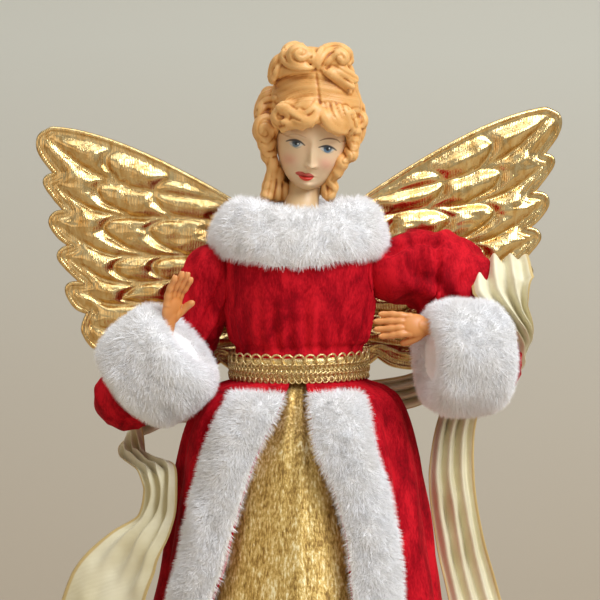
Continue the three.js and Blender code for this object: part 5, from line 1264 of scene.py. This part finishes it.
def patch(corners, soft=5.0):
    outlineOf = lineThrough(corners, 5, closed=True)
    loop = np.concatenate([outlineOf, outlineOf[:1]])
    inside = np.zeros(len(points), bool)
    for (x0, y0), (x1, y1) in zip(loop[:-1], loop[1:]):
        cross = ((y0 > v) != (y1 > v)) & (u < (x1 - x0) * (v - y0) / (y1 - y0 + 1e-9) + x0)
        inside ^= cross
    far = np.full(len(points), 1e6)
    far[isFace] = nearestLine(layout[isFace], [loop])
    return softStep(np.where(inside, far, -far), -soft / 2, soft / 2)


paintAndShade = np.tile(np.array(toLinear("#EACDA6"))[:3], (len(points), 1))
paintAndShade[len(eggPoints):] = toLinear("#D9B888")[:3]


def brush(amount, hexColor):
    global paintAndShade
    amount = (amount * isFace)[:, None]
    paintAndShade = paintAndShade * (1 - amount) + np.array(toLinear(hexColor))[:3] * amount


brush(0.5 * np.exp(-((u - 408) / 62) ** 2 - ((v - 1068) / 48) ** 2), "#E58E78")
brush(0.5 * np.exp(-((u - 706) / 58) ** 2 - ((v - 1105) / 52) ** 2), "#E89280")
# painted shade down the left side of the nose, from the inner eye downward
brush(0.3 * np.exp(-((u - 560) / 34) ** 2 - ((v - 985) / 70) ** 2), "#CFA07C")
brush(0.28 * np.exp(-((u - 470) / 85) ** 2 - ((v - 892) / 24) ** 2), "#C99A7E")
brush(0.22 * np.exp(-((u - 725) / 75) ** 2 - ((v - 938) / 22) ** 2), "#C99A7E")
brush(0.45 * stroke([(378, 884), (420, 862), (480, 864), (545, 890)], 6, 8), "#B88A62")
brush(0.85 * stroke([(658, 914), (700, 900), (750, 897), (800, 908), (826, 930)], 6.5, 6), "#7E5530")
brush(patch([(405, 928), (440, 916), (485, 918), (520, 944), (498, 960), (460, 966), (425, 953)]), "#D3D0C8")
brush(patch([(660, 976), (695, 966), (740, 966), (778, 988), (758, 1002), (720, 1008), (682, 996)]), "#D3D0C8")
brush(oval((462, 940), (31, 27), 0, 0.16), "#6C8698")
brush(oval((722, 986), (33, 28), 0, 0.16), "#5F7F97")
brush(0.85 * oval((462, 927), (38, 17), 0.15, 0.4), "#1E2932")
brush(0.85 * oval((722, 972), (40, 17), 0.15, 0.4), "#1E2932")
brush(oval((463, 936), (14, 15)), "#0D1116")
brush(oval((723, 982), (15, 16)), "#0D1116")
brush(oval((478, 940), (5.5, 5.5)), "#F5F7F8")
brush(oval((737, 978), (6, 6)), "#F5F7F8")
brush(0.5 * stroke([(414, 940), (440, 962), (470, 974), (505, 964)], 4, 6), "#7C8E98")
brush(0.5 * stroke([(672, 990), (700, 1008), (735, 1016), (768, 1004)], 4, 6), "#7C8E98")
brush(0.95 * stroke([(382, 918), (415, 909), (460, 909), (500, 924), (534, 952)], 9, 6), "#20242B")
brush(0.95 * stroke([(650, 969), (690, 959), (730, 959), (768, 974), (794, 994)], 9, 6), "#20242B")
brush(0.9 * patch([(456, 1180), (480, 1166), (515, 1170), (540, 1182), (570, 1180), (602, 1198), (612, 1212),
                   (575, 1214), (530, 1208), (485, 1200)]), "#BE2C27")
brush(0.95 * patch([(482, 1200), (530, 1207), (575, 1213), (606, 1213), (588, 1234), (548, 1246), (508, 1232)]), "#E02418")
brush(0.7 * stroke([(470, 1194), (520, 1205), (570, 1211), (606, 1211)], 3, 4), "#7A1A1C")
paintPoints(headPiece, "paintAndShade", np.column_stack([paintAndShade, np.ones(len(points))]), "FLOAT_COLOR")
standFor(headPiece, "head", "head")
print("head", len(headPiece.data.polygons), "faces")

# Hair: a combed cap and bun, with rolls, a fringe and curls laid over them, all moulded in one
hair = dict(wide=17.4, deep=17.5, tall=17.0, back=15.525, up=22.4, bunWide=15.9, bunDeep=13.5, bunTall=10.4,
            bunUp=41.2, bunShift=-2.6, voxel=0.4, wall=2.6, bunLine=330, bunShare=0.86)
hairCentre = inHead(-0.5, hair["back"], hair["up"])
bunCentre = inHead(hair["bunShift"], hair["back"], hair["bunUp"])
domes = [(hairCentre, np.array((hair["wide"], hair["deep"], hair["tall"]))),
         (bunCentre, np.array((hair["bunWide"], hair["bunDeep"], hair["bunTall"])))]


def domeFront(u, v):
    best = None
    for centre, radii in domes:
        y = -15.0
        for _ in range(5):
            spot = fromLayout(u, v, y)
            a = headTurn.T @ np.array((0, 1.0, 0)) / radii
            b = headTurn.T @ (spot - (0, y, 0) - centre) / radii
            p, q, r = (a * a).sum(), 2 * (a * b).sum(), (b * b).sum() - 1
            inside = q * q - 4 * p * r
            if inside < 0:
                y = None
                break
            y = (-q - math.sqrt(inside)) / (2 * p)
        if y is not None and (best is None or y < best):
            best = y
    return best


# The bun's locks keep below the top that the real one has
def settled(way):
    line, share = hair["bunLine"], hair["bunShare"]
    return [(p[0], p[1] if p[1] > line else line - share * (line - p[1]), *p[2:]) for p in way]


# A lock follows (u, v) places on the layout, or (u, v, y) where it leaves the head
def lock(way, wide, raised=0.0, steps=8, sides=16):
    way = settled(way)
    known = [domeFront(p[0], p[1]) if len(p) == 2 else p[2] for p in way]
    fallback = [k for k in known if k is not None] or [0.0]
    spots = [fromLayout(p[0], p[1], (fallback[-1] if y is None else y) - (raised if len(p) == 2 else 0) + (1.5 if k == 0 else 0))
             for k, (p, y) in enumerate(zip(way, known))]
    line = lineThrough(spots, steps)
    place = np.linspace(0, 1, len(line))
    swell = np.minimum(1, 0.15 + 0.85 * np.sqrt(np.clip(place / 0.25, 0, 1)))
    swell = wide * swell * np.minimum(1, 0.4 + 0.6 * np.sqrt(np.clip((1 - place) / 0.3, 0, 1)))
    return ringBody(sweptRings(line, swell, swell * 0.8, sides))


turnCap = roundTurn(120)
fromFront = np.degrees(np.abs((turnCap + np.pi) % (2 * np.pi) - np.pi))
lowest = np.radians(np.interp(fromFront, [0, 25, 50, 72, 90, 130, 180], [82, 87, 97, 117, 140, 158, 162]))
rowsCap = np.linspace(0.02, 1, 60)[:, None] * lowest[None, :]
unitPoints = np.stack([np.sin(rowsCap) * np.sin(turnCap), -np.sin(rowsCap) * np.cos(turnCap), np.cos(rowsCap)], axis=-1)
capRadii = domes[0][1]
capRings = [unitPoints * (capRadii - shell) @ headTurn.T + hairCentre for shell in (0.0, hair["wall"])]
bodies = [ringBody(np.concatenate([capRings[0], capRings[1][::-1]])),
          ballBody(bunCentre, (hair["bunWide"] - 1.2, hair["bunDeep"] - 1.0, hair["bunTall"] - 1.8), 60, 40, headTurn),
          ballBody(inHead(-1.6, hair["back"] + 0.6, 35.5), (15.7, 14.6, 10.2), 60, 40, headTurn),
          ballBody(inHead(-0.8, hair["back"] + 0.6, 29.5), (17.2, 16.4, 12.5), 60, 40, headTurn)]
# rolls on top: the first winds to the left, the second to the right
for way, wide, raised in [
        ([(600, 322), (525, 318), (430, 275), (380, 215), (390, 146), (450, 104), (525, 105)], 2.5, 0.2),
        ([(560, 150), (585, 200), (560, 260)], 2.3, 0.0), ([(385, 190), (322, 245), (285, 325), (278, 410), (290, 450)], 2.7, -0.8),
        ([(420, 325), (335, 330), (290, 390)], 2.0, -0.4), ([(615, 150), (632, 225), (622, 300)], 1.9, -0.4),
        ([(640, 320), (662, 225), (700, 150), (778, 124), (856, 158), (896, 222), (880, 285)], 2.6, 0.2),
        ([(690, 325), (765, 372), (860, 430), (945, 485)], 1.9, 0.1), ([(745, 300), (840, 340), (925, 400), (968, 436)], 2.3, 0.4),
        ([(565, 345), (448, 338), (325, 365), (262, 430)], 1.7, -0.2),
        ([(650, 625), (637, 712), (595, 752), (525, 748), (457, 706), (390, 672), (325, 676), (290, 720), (305, 768), (350, 770)], 2.4, 0.9),
        ([(605, 768), (525, 792), (457, 780), (408, 790), (352, 815), (315, 800)], 1.9, 0.5),
        ([(640, 595), (584, 598), (518, 625), (490, 670), (525, 700)], 2.2, 0.5),
        ([(664, 632), (698, 720), (749, 798), (817, 832), (880, 842)], 2.4, 0.9), ([(727, 632), (768, 720), (817, 778), (876, 802)], 2.4, 0.9),
        ([(805, 642), (846, 720), (876, 778), (892, 826)], 2.4, 0.8), ([(880, 642), (910, 720), (922, 798), (905, 866)], 2.4, 0.4)]:
    bodies.append(lock(way, wide, raised))
# full curls at the sides and the nape: place on the layout, depth, and half sizes in millimetres
knobs = [(486, 190, -15, (4.4, 4.2, 4.2)), (826, 210, -14, (3.6, 4.0, 3.4)), (205, 812, -1, (4.5, 6.5, 6.2)), (190, 664, 3, (3.3, 7.0, 5.4)),
         (258, 572, 4, (4.8, 7.5, 4.8)), (222, 925, -1, (3.7, 6.0, 4.2)), (238, 1022, 0, (3.0, 5.0, 3.8)), (1010, 748, -2, (2.2, 4.0, 3.2)),
         (942, 715, 0, (3.0, 6.0, 5.0)), (945, 835, -4, (2.8, 5.0, 3.6)), (938, 935, -4, (2.2, 4.5, 3.6)), (922, 1022, -5, (2.5, 4.0, 3.1)),
         (880, 1000, -2, (2.4, 4.0, 4.6)), (838, 1092, -5, (2.9, 3.6, 3.3)), (800, 1165, -4, (2.5, 3.2, 3.2)), (752, 1228, -2, (1.9, 3.0, 2.8)),
         (768, 1296, -1, (2.2, 3.0, 2.9)), (742, 1366, -1, (2.4, 3.0, 2.8)), (700, 1310, 0, (1.7, 2.5, 3.8)), (268, 1110, 0, (2.4, 4.0, 4.0)),
         (258, 1200, 1, (2.3, 3.6, 4.0)), (240, 1290, 1, (2.6, 3.6, 3.6)), (222, 1370, 0, (2.6, 3.4, 2.6)), (312, 1220, 2, (2.3, 3.4, 5.0)),
         (305, 1340, 2, (2.8, 3.4, 4.0)), (372, 1340, 3, (2.2, 3.0, 4.0)),
         (590, 690, None, (4.2, 2.7, 4.0)), (340, 722, None, (3.8, 3.0, 3.4)), (460, 775, None, (6.0, 2.4, 2.0)), (765, 262, -13, (3.8, 4.0, 3.4)),
         (820, 700, None, (5.4, 2.8, 4.0)), (430, 650, None, (6.5, 2.2, 3.2))]
bodies += [ballBody(fromLayout(*settled([(u, v)])[0], domeFront(u, v) + 0.4 if y is None else y), radii, 24, 16, headTurn)
           for u, v, y, radii in knobs]
# the back of the head: locks that fall from under the bun to the nape
for k, side in enumerate(np.linspace(-1.35, 1.35, 11)):
    way = []
    for up in (0.45, 0.1, -0.25, -0.6, -0.85):
        ring = math.sqrt(max(0.05, 1 - up * up))
        spot = np.array((math.sin(side) * ring, math.cos(side) * ring, up)) * (domes[0][1] + 0.3)
        way.append(headTurn @ spot + hairCentre)
    last = way[-1]
    way += [between(last, np.array((np.sin(side) * 9.5, 8 + 2.5 * np.cos(side), 243.0)), 0.55),
            np.array((np.sin(side) * 9.8, 8.5 + 2.5 * np.cos(side), 241.5 + 1.5 * (k % 2)))]
    line = lineThrough(way, 9)
    place = np.linspace(0, 1, len(line))
    line += np.stack([np.cos(8 * np.pi * place + k), np.zeros(len(line)), np.zeros(len(line))], axis=1) * 0.5 * place[:, None]
    swell = 2.6 * np.minimum(1, 0.35 + 0.65 * np.sqrt(np.clip((1 - place) / 0.25, 0, 1)))
    bodies.append(ringBody(sweptRings(line, swell, swell * 0.75, 20, upward=(0, 1, 0))))
points, faces = joinBodies(bodies)
hairPiece = moulded(newPiece("mouldedHair", points, faces, hairVinyl), hair["voxel"], 42)

# Low relief: strands that swirl over the rolls, fan out from the parting and wind round each curl
strandLines = [
    [(584, 253), (506, 292), (418, 253), (399, 175), (448, 117), (525, 107), (574, 156), (555, 214), (496, 229), (467, 185), (496, 156)],
    [(603, 311), (486, 315), (389, 285), (338, 214), (345, 150)], [(389, 165), (311, 224), (272, 311), (263, 418)],
    [(350, 240), (305, 300), (285, 390), (270, 440)], [(642, 311), (671, 224), (720, 156), (798, 136), (866, 175), (885, 234), (846, 263), (817, 224)],
    [(681, 321), (739, 234), (808, 165)], [(632, 292), (640, 195), (675, 130)], [(600, 140), (612, 220), (605, 300)],
    [(739, 341), (827, 409), (924, 477)], [(759, 321), (856, 379), (963, 438)], [(701, 350), (808, 438), (905, 506)],
    [(647, 623), (632, 720), (584, 759), (516, 739), (438, 691), (360, 652), (292, 671), (277, 730), (321, 769), (379, 749), (384, 701), (341, 681)],
    [(637, 642), (613, 701), (564, 730), (506, 710), (438, 671), (370, 632), (292, 642)], [(632, 600), (584, 660), (535, 690), (486, 671)],
    [(594, 778), (506, 778), (438, 759), (389, 778)], [(560, 800), (480, 800), (420, 800), (350, 825)],
    [(662, 632), (681, 720), (730, 798), (808, 837), (881, 842)], [(681, 623), (710, 710), (759, 778), (827, 812), (885, 817)],
    [(720, 623), (744, 701), (788, 759), (846, 788)], [(769, 623), (793, 691), (827, 749), (876, 769)],
    [(817, 632), (842, 701), (871, 759), (885, 817)], [(866, 642), (890, 710), (900, 778), (885, 837)],
    [(282, 739), (214, 710), (146, 749), (126, 827), (160, 895), (229, 905), (263, 856), (234, 798), (185, 798), (175, 837)],
    [(272, 623), (195, 642), (146, 701)], [(282, 564), (204, 584), (156, 642)], [(146, 924), (195, 973), (253, 973), (282, 924)],
    [(185, 992), (234, 1031), (282, 1022)], [(263, 1070), (248, 1168), (229, 1265), (199, 1362)], [(292, 1070), (287, 1187), (272, 1284), (248, 1382)],
    [(321, 1148), (326, 1255), (311, 1391)], [(360, 1207), (375, 1304), (379, 1401)], [(905, 681), (973, 671), (1031, 710), (1036, 778), (983, 798), (973, 749)],
    [(915, 759), (934, 827), (983, 837)], [(905, 837), (924, 895), (973, 905)], [(895, 915), (924, 973), (963, 973)], [(876, 992), (905, 1051), (866, 1080)],
    [(739, 1197), (720, 1255), (769, 1294), (788, 1343), (739, 1391)], [(701, 1226), (691, 1314), (701, 1411)]]
mesh = hairPiece.data
spots = vertexValues(mesh, "co") * 1000.0
outward = vertexValues(mesh, "normal").astype(float)
seen = onLayout(spots)
toFront = softStep(-outward[:, 1], 0.05, 0.5)
raised = np.zeros(len(spots))
for line in strandLines:
    smooth = lineThrough(settled(line), 6)
    near = np.flatnonzero((seen[:, 0] > smooth[:, 0].min() - 40) & (seen[:, 0] < smooth[:, 0].max() + 40) & (toFront > 0)
                          & (seen[:, 1] > smooth[:, 1].min() - 40) & (seen[:, 1] < smooth[:, 1].max() + 40))
    far = nearestLine(seen[near], [smooth])
    body = np.sqrt(np.clip(1 - (far / 24) ** 2, 0, 1)) * 0.3 + 0.07 * np.cos(far * 0.5) * (far < 22)
    body -= 0.2 * np.exp(-((far - 28) / 6) ** 2)
    raised[near] = np.where(np.abs(body) > np.abs(raised[near]), body, raised[near])
# fine combing beside the parting, which itself is a narrow valley
aside = seen[:, 0] - between(628, 660, np.clip((seen[:, 1] - 360) / 240, 0, 1))
flow = seen[:, 1] - 0.0006 * aside ** 2 - 12 * np.sin(aside / 90)
onSlope = softStep(seen[:, 1], 345, 375) * (1 - softStep(seen[:, 1], 590, 640)) * (seen[:, 0] > 180) * (seen[:, 0] < 980)
raised += (onSlope * (np.abs(raised) < 0.05) * (0.12 * np.cos(flow / 2.9) + 0.05 * np.cos(flow / 7.7 + 1))
           - 0.42 * onSlope * np.exp(-(aside / 10) ** 2))
# behind, waved locks run down
local = (spots - hairCentre) @ headTurn
bearing = np.arctan2(local[:, 0], -local[:, 1])
bent = np.sin(local[:, 2] * 0.45)
waves = 0.26 * np.cos(26 * bearing + 1.6 * bent) + 0.12 * np.cos(61 * bearing + 2.2 * bent)
lift = raised * toFront + waves * (1 - toFront) * np.clip(np.hypot(local[:, 0], local[:, 1]) / 9, 0, 1)
mesh.vertices.foreach_set("co", ((spots + outward * lift[:, None]) * mm).astype(np.float32).ravel())
mesh.update()
# painted shade: the hair browns where its surface lies below its neighbours, in the grooves between locks
paintPoints(hairPiece, "creaseShade", np.clip(0.36 + creaseOf(hairPiece, 2) * 3.0, 0, 1))
standFor(hairPiece, "head", "hair")
print("hair", len(hairPiece.data.polygons), "faces")

# Hands: palm, four fingers and a thumb, moulded in one
handSize = dict(palm=9.0, wide=4.6, thick=2.2, finger=11.0, radius=1.45, thumb=6.5, voxel=0.24)
fingerRows = [(-1, 0.84), (-0.36, 1), (0.34, 0.98), (0.96, 0.8)]
for side, arm in arms.items():
    wrist = np.array(arm["wrist"], float)
    along = unit(arm["finger"])
    facing = unit(np.array(arm["palm"]) - along * np.dot(arm["palm"], along))
    across = unit(np.cross(along, facing))

    def handPlace(forward, sideways, out):
        return wrist + along * forward + across * sideways + facing * out

    palmTurn = np.stack([across, facing, along], axis=1)
    s = handSize
    bodies = [ballBody(handPlace(0.55 * s["palm"], 0, 0), (s["wide"], s["thick"], 0.62 * s["palm"]), 36, 24, palmTurn),
              ballBody(handPlace(0.35 * s["palm"], 2.0, 0.7), (2.2, 1.9, 3.4), 24, 16, palmTurn),
              ringBody(sweptRings(lineThrough([handPlace(-6.5, 0, -0.2), handPlace(-2, 0, -0.1),
                                               handPlace(0.4 * s["palm"], 0, 0)], 8), 3.1, 2.3, 28, upward=facing))]
    spread = s["wide"] - s["radius"]
    for k, (row, share) in enumerate(fingerRows):
        length = s["finger"] * share
        curve = [handPlace(0.7 * s["palm"], row * spread, 0), handPlace(s["palm"] + 0.15 * length, row * spread * 1.12, -0.1),
                 handPlace(s["palm"] + 0.5 * length, row * spread * 1.25, 0.06 * length + 0.25 * k),
                 handPlace(s["palm"] + length, row * spread * 1.33, 0.24 * length + 0.35 * k)]
        line = lineThrough(curve, 10)
        place = np.linspace(0, 1, len(line))
        radius = s["radius"] * (1.06 - 0.3 * place ** 1.6 + 0.07 * np.cos(6.5 * np.pi * place))
        radius[-4:] *= (0.95, 0.85, 0.66, 0.38)
        bodies.append(ringBody(sweptRings(line, radius, radius * 0.94, 20, upward=facing)))
        tip = line[-3] - facing * radius[-5] * 0.72
        bodies.append(ballBody(tip, (radius[-5] * 0.62, 0.3, radius[-5] * 0.95), 16, 10, palmTurn))
    curve = [handPlace(0.12 * s["palm"], 1.2, 0.2), handPlace(0.42 * s["palm"], s["wide"] * 0.85, 1.0),
             handPlace(0.72 * s["palm"], s["wide"] + 0.1 * s["thumb"], 2.4),
             handPlace(0.8 * s["palm"] + 0.3 * s["thumb"], s["wide"] + 0.2 * s["thumb"], 0.75 * s["thumb"])]
    line = lineThrough(curve, 10)
    place = np.linspace(0, 1, len(line))
    radius = s["radius"] * (1.25 - 0.35 * place)
    radius[-4:] *= (0.96, 0.86, 0.68, 0.4)
    bodies.append(ringBody(sweptRings(line, radius, radius * 0.92, 20, upward=facing)))
    points, faces = joinBodies(bodies)
    piece = moulded(newPiece(side + "DollHand", points, faces, handVinyl), s["voxel"], 4)
    # painted shade: the hand darkens where its surface lies below its neighbours, between the fingers
    paintPoints(piece, "creaseShade", np.clip(0.35 + creaseOf(piece, 3) * 3.0, 0, 1))
    standFor(piece, side + "_forearm", side + "_hand")
    print(piece.name, len(piece.data.polygons), "faces")
print("head, hair and hands made")

size = {"cad": [list(v) for v in boxAtLoad], "visual": [list(v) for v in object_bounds()]}
